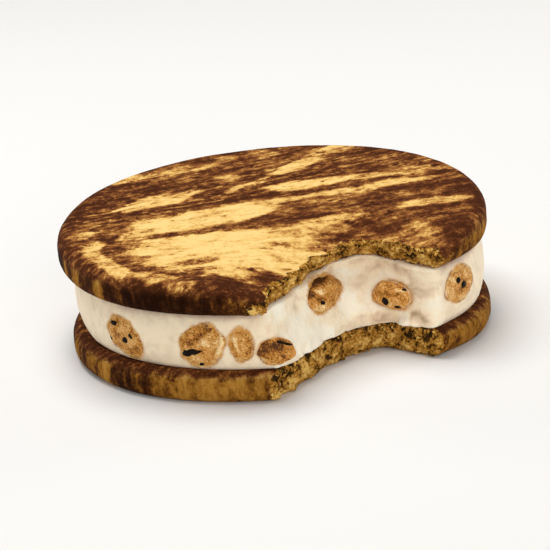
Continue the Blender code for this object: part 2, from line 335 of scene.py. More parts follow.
@dataclass
class Layer:
    """One round layer with the bite out of it. The slab is a wedge under the tilt."""

    foot: float
    thickness: float
    radius: float
    centre_x: float
    rim_turn: float
    bite: tuple
    tilted: bool = False
    wedge: bool = False

    def height(self, over_foot, y):
        """World height of points over the layer's foot."""
        lift = TILT * y
        if self.wedge:
            return self.foot + over_foot + lift * over_foot / self.thickness
        return self.foot + over_foot + lift * self.tilted

    def swell(self, over_foot):
        """How far the rim stands past the layer's radius at a height."""
        if self.wedge:
            share = np.clip(over_foot / self.thickness, 0, 1)
            return SLAB_BULGE * np.sin(math.pi * share) ** SLAB_FULLNESS
        low = max(0.0, EDGE_ROUND_FOOT - over_foot)
        high = max(0.0, over_foot - (self.thickness - EDGE_ROUND_TOP))
        inset_low = EDGE_ROUND_FOOT - math.sqrt(max(0.0, EDGE_ROUND_FOOT ** 2 - low ** 2))
        inset_high = EDGE_ROUND_TOP - math.sqrt(max(0.0, EDGE_ROUND_TOP ** 2 - high ** 2))
        return -(inset_low + inset_high)

    def reach(self, headings, over_foot):
        wave = RIM_LOBES * np.cos(3 * headings + self.rim_turn) - np.cos(4 * headings)
        turn = np.mod(headings - HORN_HEADING + math.pi, 2 * math.pi) - math.pi
        horn = np.exp(-((turn / HORN_SPREAD) ** 2))
        worn = HORN_WEAR * horn * ease(1 - over_foot / (0.6 * self.thickness)) * (not self.wedge)
        level = self.radius + self.swell(over_foot) + RIM_UNEVEN * wave
        return level - HORN_FLAT * horn - worn

    def middle(self, over_foot):
        lobe = RIM_UNEVEN * RIM_LOBES
        back = TILT * over_foot if self.tilted else 0.0
        return np.array((
            self.centre_x - lobe * math.cos(self.rim_turn),
            -lobe * math.sin(self.rim_turn) - back,
        ))

    def rim(self, headings, over_foot):
        reach = self.reach(headings, over_foot)
        round_it = np.stack((np.cos(headings), np.sin(headings)), 1)
        return self.middle(over_foot) + round_it * reach[:, None]

    def past_rim(self, points, over_foot):
        """How far plan points lie outside the rim at a height."""
        away = points - self.middle(over_foot)
        headings = np.arctan2(away[:, 1], away[:, 0])
        return np.hypot(*away.T) - self.reach(headings, over_foot)

    def bite_edge(self, across, over_foot):
        """Plan points of the bite at shares of its half width."""
        inward = -np.array((math.cos(BITE_HEADING), math.sin(BITE_HEADING)))
        along = np.array((inward[1], -inward[0]))
        start = np.array((BOTTOM.centre_x, 0.0)) - inward * BOTTOM.radius
        tooth = np.abs(np.sin(math.pi * across * BITE_HALF_WIDTH / TOOTH_WIDTH)) - 0.5
        if self.wedge:
            tooth = -SLAB_TOOTH * np.cos(2 * math.pi * across * BITE_HALF_WIDTH / TOOTH_WIDTH)
        wear = self.bite_wear(over_foot, across)
        y = np.full(len(across), -26.0)
        for _ in range(3):
            share = (self.height(over_foot, y) - self.foot) / self.thickness
            depth = self.bite[0] + (self.bite[1] - self.bite[0]) * share
            reach = depth * arch_share(across) + TOOTH_DEPTH * tooth + wear
            points = start + np.outer(across * BITE_HALF_WIDTH, along) + np.outer(reach, inward)
            y = points[:, 1]
        return points

    def bite_wear(self, over_foot, across):
        """How far the bitten wall is rounded back at its edges."""
        if self.wedge:
            return 0.0
        low = max(0.0, BITE_ROUND[0] - over_foot)
        high = max(0.0, over_foot - (self.thickness - BITE_ROUND[1]))
        foot = BITE_ROUND[0] - math.sqrt(max(0.0, BITE_ROUND[0] ** 2 - low ** 2))
        foot = foot * (1 + FOOT_WEAR_RIGHT * ease(across * 1.5))
        return foot + BITE_ROUND[1] - math.sqrt(max(0.0, BITE_ROUND[1] ** 2 - high ** 2))

    def outline(self, over_foot):
        """Plan outline at a height: first along the bite, then round the rim."""
        across = np.linspace(-1, 1, 2401)
        edge = self.bite_edge(across, over_foot)
        inside = np.flatnonzero(self.past_rim(edge, over_foot) < 0)
        edge = edge[inside[0]:inside[-1] + 1]
        run = np.concatenate(([0], np.cumsum(np.hypot(*np.diff(edge, axis=0).T))))
        even = np.linspace(0, run[-1], BITE_STEPS)
        bite = np.stack([np.interp(even, run, edge[:, axis]) for axis in (0, 1)], 1)
        ends = bite[[-1, 0]] - self.middle(over_foot)
        first, last = np.arctan2(ends[:, 1], ends[:, 0])
        last += 2 * math.pi if last < first else 0.0
        headings = np.linspace(first, last, RIM_STEPS + 2)[1:-1]
        outline = np.concatenate((bite, self.rim(headings, over_foot)))
        return softened(outline, CORNER_ROUND if self.wedge else COOKIE_CORNER_ROUND)

    def side_levels(self):
        if self.wedge:
            turn = np.linspace(0, math.pi, SLAB_STEPS + 1)
            return list(self.thickness * (1 - np.cos(turn)) / 2 * 0.4
                        + self.thickness * np.linspace(0, 1, SLAB_STEPS + 1) * 0.6)
        turn = np.linspace(0, math.pi / 2, ROUND_STEPS + 1)
        low = EDGE_ROUND_FOOT * (1 - np.cos(turn))
        high = self.thickness - EDGE_ROUND_TOP * (1 - np.sin(turn))
        wall = np.linspace(low[-1], high[0], WALL_STEPS + 1)
        return list(low[:-1]) + list(wall[:-1]) + list(high)


def layers_from_frame():
    """The three layers, sized from the packed solids."""
    low, high = box_mm("bottom_cookie")
    bottom = Layer(low[2], high[2] - low[2], (high[0] - low[0]) / 2 + RIM_UNEVEN,
                   (high[0] + low[0]) / 2, BOTTOM_RIM_TURN, BOTTOM_BITE)
    low, high = box_mm("ice_cream")
    slab = Layer(low[2], SLAB_THICKNESS, (high[0] - low[0]) / 2 + RIM_UNEVEN - SLAB_BULGE,
                 (high[0] + low[0]) / 2, SLAB_RIM_TURN, SLAB_BITE, wedge=True)
    low, high = box_mm("top_cookie")
    top_foot = slab.foot + SLAB_THICKNESS + GAP
    top = Layer(top_foot, TOP_THICKNESS, (high[0] - low[0]) / 2 + RIM_UNEVEN,
                (high[0] + low[0]) / 2, TOP_RIM_TURN, TOP_BITE, tilted=True)
    return bottom, slab, top


BOTTOM, SLAB, TOP = layers_from_frame()


@dataclass
class Form:
    """Points in mm and faces of a closed layer, with what its finish needs."""

    points: np.ndarray
    faces: list
    from_bite: np.ndarray       # plan distance to the bite's edge at the point's own height
    over_foot: np.ndarray


def cap(outline, spacing):
    """Points inside a plan outline, and the triangles that fill it."""
    low, high = outline.min(0), outline.max(0)
    rows = np.arange(low[1], high[1], spacing * math.sqrt(0.75))
    grid = np.array([
        (x + spacing / 2 * (row % 2), y)
        for row, y in enumerate(rows) for x in np.arange(low[0], high[0], spacing)
    ])
    grid = grid[within(grid, outline)]
    grid = grid[nearest(grid, outline) > spacing * 0.6]
    corners = [Vector(point) for point in np.concatenate((outline, grid))]
    filled = delaunay_2d_cdt(corners, [], [list(range(len(outline)))], 1, 1e-9)
    return grid, filled[2]


def layer_form(layer, top_spacing, foot_spacing):
    """The closed layer: side levels from foot to top, and its two faces."""
    points, away, levels = [], [], []
    heights = layer.side_levels()
    for over_foot in heights:
        outline = layer.outline(over_foot)
        points.append(np.column_stack((outline, layer.height(over_foot, outline[:, 1]))))
        away.append(nearest(outline, outline[:BITE_STEPS]))
        levels.append(np.full(len(outline), over_foot))
    count = BITE_STEPS + RIM_STEPS
    faces = []
    for level in range(len(heights) - 1):
        for i in range(count):
            j = (i + 1) % count
            low, high = level * count, (level + 1) * count
            faces.append((low + i, low + j, high + j, high + i))
    for level, spacing, flip in ((0, foot_spacing, True), (-1, top_spacing, False)):
        outline = points[level if level == 0 else len(heights) - 1][:, :2]
        start = sum(len(part) for part in points)
        first = 0 if level == 0 else (len(heights) - 1) * count
        inner, triangles = cap(outline, spacing)
        over_foot = heights[level]
        points.append(np.column_stack((inner, layer.height(over_foot, inner[:, 1]))))
        away.append(nearest(inner, outline[:BITE_STEPS]))
        levels.append(np.full(len(inner), over_foot))
        for triangle in triangles:
            numbers = [first + k if k < count else start + k - count for k in triangle]
            faces.append(tuple(numbers[::-1]) if flip else tuple(numbers))
    return Form(np.concatenate(points), faces, np.concatenate(away), np.concatenate(levels))


def mesh_object(name, points, faces, material, **attributes):
    """A smooth piece at the origin, its points given in mm."""
    mesh = bpy.data.meshes.new(name)
    mesh.from_pydata((points * MM).tolist(), [], faces)
    mesh.validate()
    mesh.shade_smooth()
    mesh.materials.append(material)
    for label, values in attributes.items():
        data = mesh.attributes.new(label, "FLOAT", "POINT").data
        data.foreach_set("value", np.ascontiguousarray(values, dtype=np.float32))
    obj = bpy.data.objects.new(name, mesh)
    bpy.context.scene.collection.objects.link(obj)
    return obj


def normals_of(points, faces):
    """Unit vertex normals of a mesh."""
    mesh = bpy.data.meshes.new("normals")
    mesh.from_pydata(points.tolist(), [], faces)
    found = np.empty(len(points) * 3, np.float32)
    mesh.vertices.foreach_get("normal", found)
    bpy.data.meshes.remove(mesh)
    return found.reshape(-1, 3).astype(float)


def as_piece(obj, slot, *nodes):
    """Gives the piece its place in the packed frame."""
    if not obj.data.polygons:
        raise RuntimeError(f"{obj.name} has no faces")
    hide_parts(*nodes)
    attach(obj, "root")
    return obj


# ------------------------------------------------------------------ finishes
class Channel:
    """A socket of a finish. Arithmetic on it adds Math nodes."""

    def __init__(self, finish, socket):
        self.finish = finish
        self.socket = socket

    def maths(self, operation, *values):
        inputs = dict(enumerate(values))
        return self.finish.node("ShaderNodeMath", {"operation": operation}, inputs)

    def __add__(self, other):
        return self.maths("ADD", self, other)

    def __sub__(self, other):
        return self.maths("SUBTRACT", self, other)

    def __mul__(self, other):
        return self.maths("MULTIPLY", self, other)

    def __truediv__(self, other):
        return self.maths("DIVIDE", self, other)

    def __pow__(self, other):
        return self.maths("POWER", self, other)

    def __radd__(self, other):
        return self.maths("ADD", other, self)

    def __rsub__(self, other):
        return self.maths("SUBTRACT", other, self)

    def __rmul__(self, other):
        return self.maths("MULTIPLY", other, self)

    def __neg__(self):
        return self.maths("MULTIPLY", self, -1.0)

    def larger(self, other):
        return self.maths("MAXIMUM", self, other)

    def between(self, low, high):
        """0 below low, 1 above high and a smooth change in between."""
        ends = {"Value": self, "From Min": low, "From Max": high}
        return self.finish.node("ShaderNodeMapRange", {"interpolation_type": "SMOOTHSTEP"}, ends)


class Nodes:
    """Builds a node tree. Each node gets its settings first, then values or links."""

    def __init__(self, tree):
        self.tree = tree

    def node(self, kind, settings=None, inputs=None, output=0):
        made = self.tree.nodes.new(kind)
        for name, value in (settings or {}).items():
            if name == "stops":
                set_stops(made.color_ramp, value)
            else:
                setattr(made, name, value)
        for name, value in (inputs or {}).items():
            self.fill(made.inputs[name], value)
        return Channel(self, made.outputs[output]) if made.outputs else None

    def fill(self, socket, value):
        if isinstance(value, Channel):
            self.tree.links.new(value.socket, socket)
        else:
            socket.default_value = value


class Finish(Nodes):
    """The nodes of one material."""

    def __init__(self, name):
        self.material = bpy.data.materials.new(name)
        self.material.use_nodes = True
        super().__init__(self.material.node_tree)
        self.shader = self.tree.nodes["Principled BSDF"]

    def set(self, **sockets):
        """Fills the shader's sockets; underscores stand for spaces."""
        for name, value in sockets.items():
            self.fill(self.shader.inputs[name.replace("_", " ")], value)

    def place(self):
        return self.node("ShaderNodeTexCoord", output="Object")

    def attribute(self, name):
        return self.node("ShaderNodeAttribute", {"attribute_name": name}, output="Fac")

    def grain(self, place, size, detail=3.0, roughness=0.55, distortion=0.0):
        """Noise of 0 to 1 with its largest grains `size` mm across."""
        inputs = {
            "Vector": place, "Scale": 1 / (size * MM), "Detail": detail,
            "Roughness": roughness, "Distortion": distortion,
        }
        return self.node("ShaderNodeTexNoise", None, inputs)

    def pits(self, place, size, kind="F1"):
        """Distance to scattered points, `size` mm apart."""
        inputs = {"Vector": place, "Scale": 1 / (size * MM)}
        return self.node("ShaderNodeTexVoronoi", {"feature": kind}, inputs)

    def joined(self, x, y, z):
        return self.node("ShaderNodeCombineXYZ", None, {"X": x, "Y": y, "Z": z})

    def height_of(self, place):
        return self.node("ShaderNodeSeparateXYZ", None, {"Vector": place}, output="Z")

    def stretched(self, place, stretch, heading=0.0):
        """Coordinates turned to a heading and drawn out along it."""
        return self.node(
            "ShaderNodeMapping", {"vector_type": "TEXTURE"},
            {"Vector": place, "Rotation": (0, 0, heading), "Scale": stretch},
        )

    def drifted(self, place, size, amount):
        """Coordinates pushed about by slow noise, by up to `amount` mm."""
        wander = self.node(
            "ShaderNodeTexNoise", None, {"Vector": place, "Scale": 1 / (size * MM), "Detail": 1.0},
            output="Color",
        )
        centred = self.node(
            "ShaderNodeVectorMath", {"operation": "SUBTRACT"}, {0: wander, 1: (0.5, 0.5, 0.5)}
        )
        scaled = self.node(
            "ShaderNodeVectorMath", {"operation": "SCALE"},
            {0: centred, "Scale": 2 * amount * MM},
        )
        return self.node("ShaderNodeVectorMath", {"operation": "ADD"}, {0: place, 1: scaled})

    def ramp(self, value, *stops):
        return self.node("ShaderNodeValToRGB", {"stops": stops}, {"Fac": value})

    def mix(self, share, first, second):
        """Colours from first at 0 to second at 1."""
        return self.node(
            "ShaderNodeMix", {"data_type": "RGBA"},
            {0: share, 6: opaque(first), 7: opaque(second)}, output=2,
        )

    def bump(self, height, distance, strength=1.0, under=None):
        inputs = {"Height": height, "Distance": distance * MM, "Strength": strength}
        if under:
            inputs["Normal"] = under
        return self.node("ShaderNodeBump", None, inputs)


def opaque(colour):
    return colour if isinstance(colour, Channel) else (*tuple(colour)[:3], 1.0)


def set_stops(ramp, stops):
    """Puts a ramp's colours at their positions."""
    while len(ramp.elements) < len(stops):
        ramp.elements.new(0.5)
    for element, (position, colour) in zip(ramp.elements, stops):
        element.position = position
        element.color = opaque(colour)


# ------------------------------------------------------------------ settings
def tint(name, description, default):
    return bpy.props.FloatVectorProperty(
        name=name, description=description, subtype="COLOR", size=3, min=0.0, max=1.0,
        default=default,
    )


def length(name, description, default_mm):
    return bpy.props.FloatProperty(
        name=name, description=description, unit="LENGTH", subtype="DISTANCE", min=0.0,
        precision=5, default=default_mm * MM,
    )


class SandwichCookieSettings(bpy.types.PropertyGroup):
    """Colours and relief of the marbled cookies"""

    gold: tint("Golden dough", "Light dough of the baked face", (0.71, 0.435, 0.122))
    pale: tint("Pale dough", "Lightest parts of the golden dough", (0.86, 0.585, 0.218))
    tan: tint("Tan dough", "Golden dough thinly mixed with chocolate", (0.44, 0.20, 0.050))
    amber: tint("Amber edge", "Where golden dough fades into chocolate", (0.245, 0.088, 0.021))
    cocoa: tint("Chocolate dough", "Dark dough of the baked face", (0.120, 0.036, 0.011))
    deep: tint("Darkest dough", "Darkest parts of the chocolate dough", (0.058, 0.016, 0.005))
    # The rim colours are darker copies of the face's colours: painted shade on the upright rim. The
    # lightest of them also serves as a painted highlight.
    rim_gold_highlight: tint("Lit golden rim", "Lightest dough at the rim", (0.42, 0.20, 0.032))
    rim_gold: tint("Golden rim", "Golden dough at the rim", (0.240, 0.097, 0.012))
    shaded_rim_brown: tint("Brown rim", "Thinly mixed dough at the rim", (0.082, 0.026, 0.005))
    shaded_rim_cocoa: tint("Chocolate rim", "Chocolate dough at the rim", (0.036, 0.0105, 0.003))
    shaded_rim_deep: tint("Darkest rim", "Darkest chocolate dough at the rim", (0.016, 0.0045, 0.0014))
    crumb: tint("Crumb", "Torn inside of a cookie", (0.43, 0.205, 0.032))
    # A painted highlight on the raised grains, as well as golden crumb.
    crumb_gold_highlight: tint("Light crumb", "Lit grains of the torn inside", (0.74, 0.47, 0.13))
    crumb_brown: tint("Brown crumb", "Darker grains of the torn inside", (0.205, 0.085, 0.012))
    # Also reached along the torn wall's upper edge, where it stands for painted shade.
    crumb_dark: tint("Charred crumb", "Darkest grains of the torn inside", (0.030, 0.015, 0.004))
    # Painted shade in the pores.
    painted_pore_shade: tint("Pits", "Bottoms of the torn inside's pores", (0.060, 0.027, 0.007))
    crumb_relief: length("Crumb relief", "Height of the torn inside's grains", 0.5)
    pore_depth: length("Pore depth", "Depth of the torn inside's pores", 0.5)
    skin_relief: length("Skin relief", "Height of the baked skin's waves", 0.12)
    streak_heading: bpy.props.FloatProperty(
        name="Streak heading", description="Direction that the marbling runs in",
        unit="ROTATION", subtype="ANGLE", default=math.radians(14),
    )
    streak_bend: bpy.props.FloatProperty(
        name="Streak bend", description="How much more the marbling turns towards the back",
        min=0.0, default=0.9,
    )


class SandwichIceCreamSettings(bpy.types.PropertyGroup):
    """Colours and relief of the ice cream"""

    cream: tint("Ice cream", "Colour of the smooth side", (0.95, 0.79, 0.575))
    shade: tint("Shaded ice cream", "Duller patches", (0.82, 0.67, 0.475))
    # Painted shade where the side meets a cookie.
    painted_contact_shade: tint("Stained ice cream", "Where the cookies colour it", (0.50, 0.33, 0.25))
    ice: tint("Bitten ice cream", "Colour of the bitten face", (0.95, 0.79, 0.57))
    dull: tint("Dull bitten ice cream", "Duller patches of the bitten face", (0.76, 0.60, 0.42))
    murky: tint("Murky bitten ice cream", "Dullest patches of the bitten face", (0.47, 0.34, 0.21))
    frost: tint("Frost", "Whitest parts of the bitten face", (1.0, 0.89, 0.72))
    side_relief: length("Side relief", "Height of the smooth side's waves", 0.14)
    bite_relief: length("Bite relief", "Height of the bitten face's lumps", 0.7)
    close: length("Closing", "How far the slab closes the gap to each cookie", 0.25)


class SandwichDoughSettings(bpy.types.PropertyGroup):
    """Colours and relief of the cookie dough and its chocolate"""

    peach: tint("Dough", "Cut face of a lump", (0.60, 0.258, 0.045))
    light: tint("Light dough", "Grains of a cut face", (0.70, 0.385, 0.115))
    sugar: tint("Sugar grains", "Brightest grains of a cut face", (0.92, 0.68, 0.35))
    # These two are also reached in a lump's hollows, where they stand for painted shade.
    brown: tint("Dark dough", "Hollows of a lump", (0.27, 0.095, 0.014))
    burnt: tint("Darkest dough", "Deepest hollows of a lump", (0.085, 0.028, 0.008))
    chocolate: tint("Chocolate", "Chocolate bits", (0.008, 0.0045, 0.003))
    grain_relief: length("Grain relief", "Height of a lump's grains", 0.16)


class SandwichCrumbSettings(bpy.types.PropertyGroup):
    """Number and size of the loose crumbs"""

    density: bpy.props.FloatProperty(
        name="Crumbs a square mm", description="Crumbs on each square millimetre of torn cookie",
        min=0.0, default=1.1,
    )
    smallest: length("Smallest crumb", "Width of the smallest crumbs", 0.2)
    largest: length("Largest crumb", "Width of the largest crumbs", 0.8)
    seed: bpy.props.IntProperty(name="Seed", description="Pattern of the crumbs", default=4)


class SandwichStageSettings(bpy.types.PropertyGroup):
    """Floor, lights and camera"""

    floor: tint("Floor", "Colour of the floor", (0.80, 0.79, 0.77))
    key: bpy.props.FloatProperty(
        name="Overhead light", description="Power of the large light above", unit="POWER",
        min=0.0, default=4.4,
    )
    fill: bpy.props.FloatProperty(
        name="Front light", description="Power of the light in front", unit="POWER",
        min=0.0, default=3.2,
    )
    edge: bpy.props.FloatProperty(
        name="Side lights", description="Power of each light behind the sides", unit="POWER",
        min=0.0, default=0.9,
    )
    surround: bpy.props.FloatProperty(
        name="Surround", description="Brightness of the pale surround", min=0.0, default=0.32,
    )
    lens: bpy.props.FloatProperty(
        name="Focal length", description="Camera lens in millimetres", unit="CAMERA",
        min=1.0, default=164.3,
    )
    camera_distance: length("Camera distance", "From the camera to the sandwich", 500.0)
    camera_height: bpy.props.FloatProperty(
        name="Camera elevation", description="Angle of the camera over the floor",
        unit="ROTATION", subtype="ANGLE", default=math.radians(18.4),
    )
    camera_roll: bpy.props.FloatProperty(
        name="Camera roll", description="Turn of the camera about its view",
        unit="ROTATION", subtype="ANGLE", default=math.radians(-5.3),
    )


# ------------------------------------------------------------------- cookies
def streaks(points, gold, dark):
    """Golden dough above 0 and chocolate below, from soft ellipses."""
    field = np.full(len(points), -MARBLE_DEPTH)
    for target, table in ((1, gold), (-1, dark)):
        for x, y, half_length, half_width, heading, strength in table:
            turn = math.radians(heading)
            away = points - (x, y)
            along = away @ (math.cos(turn), math.sin(turn)) / half_length
            across = away @ (-math.sin(turn), math.cos(turn)) / half_width
            cover = ease((1.3 - np.hypot(along, across)) / 0.6)
            if target == 1:
                level = MARBLE_DEPTH * (cover * (strength + 1) - 1)
                field = np.maximum(field, level)
            else:
                field -= cover * strength * (field + MARBLE_DEPTH)
    return field


def rim_streaks(headings, table):
    best = np.full(len(headings), -0.8)
    for heading, half_width, strength in table:
        away = np.abs((np.degrees(headings) - heading + 180) % 360 - 180)
        best = np.maximum(best, strength * (1.2 - away / half_width))
    return np.clip(best, -0.8, 1.0)


def marble_field(layer, form, gold, dark, rim_gold):
    """Above 0 the dough is golden, below 0 it is chocolate."""
    points = form.points
    drift = np.stack([fractal(points, 7.0, 4, 61), fractal(points, 7.0, 4, 62)], 1)
    face = streaks(points[:, :2] + drift * (1.9, 1.4), gold, dark)
    away = points[:, :2] - layer.middle(0)
    # Painted shade: darker towards the rim.
    face -= PAINTED_EDGE_SHADE * ease((np.hypot(*away.T) - 24) / 16)
    rim = rim_streaks(np.arctan2(away[:, 1], away[:, 0]), rim_gold)
    side = side_share(layer, form)
    return face * (1 - side) + np.clip(rim, -MARBLE_DEPTH, MARBLE_DEPTH) * side


def streak_flow(points, settings):
    """Distance along and across the marbling, which turns further towards the back."""
    turn_x, turn_y = math.cos(settings.streak_heading), math.sin(settings.streak_heading)
    x, y = points[:, 0], points[:, 1]
    bend = 1 + settings.streak_bend * y / 40.0
    return x * turn_x + y * turn_y, y * turn_x - x * turn_y * bend


def side_share(layer, form):
    """0 on the upper face, 1 on the rim."""
    start, width = (0.05, 0.5) if layer is BOTTOM else (0.25, 0.9)
    down = (layer.thickness - form.over_foot) / EDGE_ROUND_TOP
    return ease((down - start) / width)


def torn_share(form, reach, seed, wrap=0.0):
    """1 on the bitten wall, fading on the skin beside it and further round its left end."""
    near_end = np.exp(-((np.hypot(*(form.points[:, :2] - form.points[0, :2]).T) / 6.0) ** 2))
    ragged = reach * (1 + 2.0 * fractal(form.points, 3.2, 4, seed)) + wrap * near_end
    return 1 - ease(form.from_bite / np.maximum(ragged, 0.25))


def crumb_height(points, seed):
    """Relief of torn cookie, about -1 to 1, and where its pores are, 0 to 1."""
    grains = (
        1.3 * fractal(points, 3.0, 4, seed)
        + 0.8 * (0.45 - cells(points, 1.0, seed))
        + 0.5 * fractal(points, 0.55, 2, seed + 5)
    )
    pores = ease((0.38 - cells(points, 1.2, seed + 1)) / 0.25)
    pores = pores * ease(0.1 + 1.6 * fractal(points, 3.2, 2, seed + 2))
    return grains, pores


def dark_crumb_and_shade_share(layer, form, strength):
    """Darker crumb along the upper edge of the torn wall, and further down at its ends: painted shade
    under the slab, mixed with dark crumbs.
    """
    left, right = (
        np.hypot(*(form.points[:, :2] - form.points[end, :2]).T) for end in (0, BITE_STEPS - 1)
    )
    edge = 0.74 - 0.5 * np.exp(-((left / 3.5) ** 2)) - 0.3 * np.exp(-((right / 7) ** 2))
    level = form.over_foot / layer.thickness - edge
    near = np.flatnonzero(form.from_bite < 7)
    level[near] += 0.35 * fractal(form.points[near], 2.2, 3, 71)
    return strength * ease(level / 0.25)


def with_holes(layer, form, pores, holes):
    """Adds single larger holes to the torn wall's pores."""
    for across, over_foot, size in holes:
        middle = layer.bite_edge(np.array([across]), over_foot)[0]
        middle = np.array((*middle, layer.height(over_foot, middle[1])))
        away = np.linalg.norm(form.points - middle, axis=1) / size
        near = np.flatnonzero(away < 3)
        rough = away[near] * 1.6 - 0.8 + fractal(form.points[near], 1.5, 2, 72)
        pores[near] = np.maximum(pores[near], 1 - ease(rough))
    return pores


def dip(points, over_foot):
    """The top cookie's upper face sags towards the bite."""
    edge = TOP.bite_edge(np.linspace(-1, 1, 300), TOP_THICKNESS)
    share = over_foot / TOP_THICKNESS
    return TOP_DIP * share * (1 - ease(nearest(points, edge) / TOP_DIP_REACH))


def cookie_piece(name, layer, settings, material, streak_tables, torn_reach, wrap, seed,
                 charred, holes_at):
    """One cookie, with its relief and what its finish reads."""
    form = layer_form(layer, SKIN_SPACING, HIDDEN_SPACING)
    charred = dark_crumb_and_shade_share(layer, form, charred)
    extra = with_holes(layer, form, np.zeros(len(form.points)), holes_at)
    if layer is TOP:
        form.points[:, 2] -= dip(form.points, form.over_foot)
    marble = marble_field(layer, form, *streak_tables)
    along, across = streak_flow(form.points, settings)
    torn = torn_share(form, torn_reach, seed, wrap * side_share(layer, form))
    normals = normals_of(form.points, form.faces)
    skin = fractal(form.points, 9.0, 3, seed + 3) + 0.2 * fractal(form.points, 1.2, 2, seed + 4)
    lift = settings.skin_relief / MM * skin * 0.6
    pores = np.zeros(len(torn))
    rough = np.flatnonzero(torn > 0.02)
    grains, holes = crumb_height(form.points[rough], seed)
    holes = np.maximum(holes, extra[rough])
    pores[rough] = holes * ease(torn[rough] * 2.2)
    lift[rough] = (
        lift[rough] * (1 - torn[rough])
        + torn[rough] * (settings.crumb_relief / MM * (grains - 0.35)
                         - settings.pore_depth / MM * holes)
    )
    flat_foot = ease(form.over_foot / 0.6)
    lift *= flat_foot if layer is BOTTOM else 1.0
    form.points += normals * lift[:, None]
    return mesh_object(
        name, form.points, form.faces, material,
        marble=marble, torn=torn, pore=pores, side=side_share(layer, form),
        charred=charred, hollow=-lift,
        along=along * MM, across=across * MM,
    )


def marbled_finish(settings):
    """Golden and chocolate dough in feathery streaks, and torn crumb in the bite."""
    finish = Finish("marbled_cookie")
    place = finish.place()
    torn = finish.attribute("torn")
    side = finish.attribute("side")
    pore = finish.attribute("pore")
    flow = finish.joined(
        finish.attribute("along"), finish.attribute("across"), finish.height_of(place)
    )
    flow = finish.drifted(flow, 12.0, 1.4)
    drifted = finish.drifted(place, 5.0, 0.8)
    upright = finish.stretched(drifted, (1.0, 1.0, 3.0))

    # Blotchy streaks on the face, upright smears on the rim
    feather = finish.grain(finish.stretched(flow, (2.1, 1.0, 1.5)), 3.4, 5.0, 0.65)
    strands = finish.grain(finish.stretched(flow, (7.0, 1.0, 2.0)), 1.3, 3.0, 0.6)
    smears = finish.grain(upright, 2.6, 6.0, 0.7)
    mottle = finish.grain(drifted, 1.7, 5.0, 0.7)
    fine = finish.grain(place, 0.45, 3.0, 0.7)
    blotchy = 1 - finish.attribute("along").between(-30 * MM, -8 * MM)
    streaky = finish.attribute("across").between(2 * MM, 16 * MM)
    on_face = (
        (feather - 0.5) * 2.3 + (strands - 0.5) * (0.7 + streaky * 1.3)
        + (mottle - 0.5) * (2.4 + blotchy * 0.8)
    )
    # The rim's tone is also lowered a little: painted shade.
    on_rim = (smears - 0.5) * 3.8 + (mottle - 0.5) * 1.6 - 0.14
    marble = (
        finish.attribute("marble") * (0.92 + side * 0.25) + on_face * (1 - side) + on_rim * side
        + (fine - 0.5) * 1.1
    )
    # Dark flecks over the gold and amber wisps through the chocolate
    flecks = finish.grain(finish.stretched(flow, (1.5, 1.0, 1.0)), 2.4, 3.0, 0.6)
    wisps = finish.grain(finish.stretched(flow, (4.0, 1.0, 1.5)), 1.8, 4.0, 0.65)
    marble = marble - flecks.between(0.60, 0.72) * 0.8 * (1 - side)
    marble = marble + wisps.between(0.46, 0.70) * 0.46 * (1 - side)
    tone = marble * 0.5 + 0.5
    face = finish.ramp(
        tone, (0.08, settings.deep), (0.25, settings.cocoa), (0.39, settings.amber),
        (0.54, settings.tan), (0.70, settings.gold), (0.97, settings.pale),
    )
    # Darker copies of the face's colours on the rim: painted shade, with a painted highlight at the
    # lightest stop.
    rim = finish.ramp(
        tone, (-0.05, settings.shaded_rim_deep), (0.25, settings.shaded_rim_cocoa), (0.44, settings.shaded_rim_brown),
        (0.62, settings.rim_gold), (0.92, settings.rim_gold_highlight),
    )
    skin = finish.mix(side, face, rim)

    # Torn crumb: olive and golden grains round dark pores. Its lightest colour lies on the raised
    # grains of the bump: a painted highlight.
    clumps = finish.grain(place, 2.4, 4.0, 0.65)
    grains = finish.grain(place, 0.75, 4.0, 0.8)
    # Painted shade along the torn wall's upper edge, mixed with dark crumbs.
    body = (
        (grains - 0.5) * 1.2 + (clumps - 0.5) * 1.6 + 0.54
        # Painted shade: darker in the relief's hollows.
        - finish.attribute("charred") * 0.24 - finish.attribute("hollow") * 0.08
    )
    crumb = finish.ramp(
        body, (0.26, settings.crumb_dark), (0.37, settings.crumb_brown), (0.46, settings.crumb),
        (0.56, settings.crumb), (0.70, settings.crumb_gold_highlight),
    )
    # Painted shade in the pores.
    crumb = finish.mix(pore.between(0.05, 0.6), crumb, settings.painted_pore_shade)
    edge = torn + (grains - 0.5) * 1.6 + (mottle - 0.5) * 0.8
    colour = finish.mix(edge.between(0.36, 0.50), skin, crumb)
    relief = fine * (0.25 + 0.5 * torn) + grains * torn + feather * 0.35 * (1 - torn)
    finish.set(
        Base_Color=colour,
        Roughness=0.75,
        Normal=finish.bump(relief, 0.2, 0.9),
        Specular_IOR_Level=0.02,
    )
    return finish.material


def build_cookies(context):
    settings = context.scene.sandwich_cookie
    material = marbled_finish(settings)
    bottom = cookie_piece(
        "bottom_cookie_baked", BOTTOM, settings, material, (BOTTOM_GOLD, (), BOTTOM_RIM_GOLD),
        0.5, 1.5, 11, 1.0, ((-0.12, 2.2, 0.9),),
    )
    as_piece(bottom, "marbled_cookie", "bottom_cookie")
    top = cookie_piece(
        "top_cookie_baked", TOP, settings, material, (TOP_GOLD, TOP_DARK, TOP_RIM_GOLD),
        1.3, 6.0, 21, 0.75, ((0.76, 3.6, 1.5), (-0.62, 3.4, 0.8)),
    )
    as_piece(top, "marbled_cookie", "top_cookie")


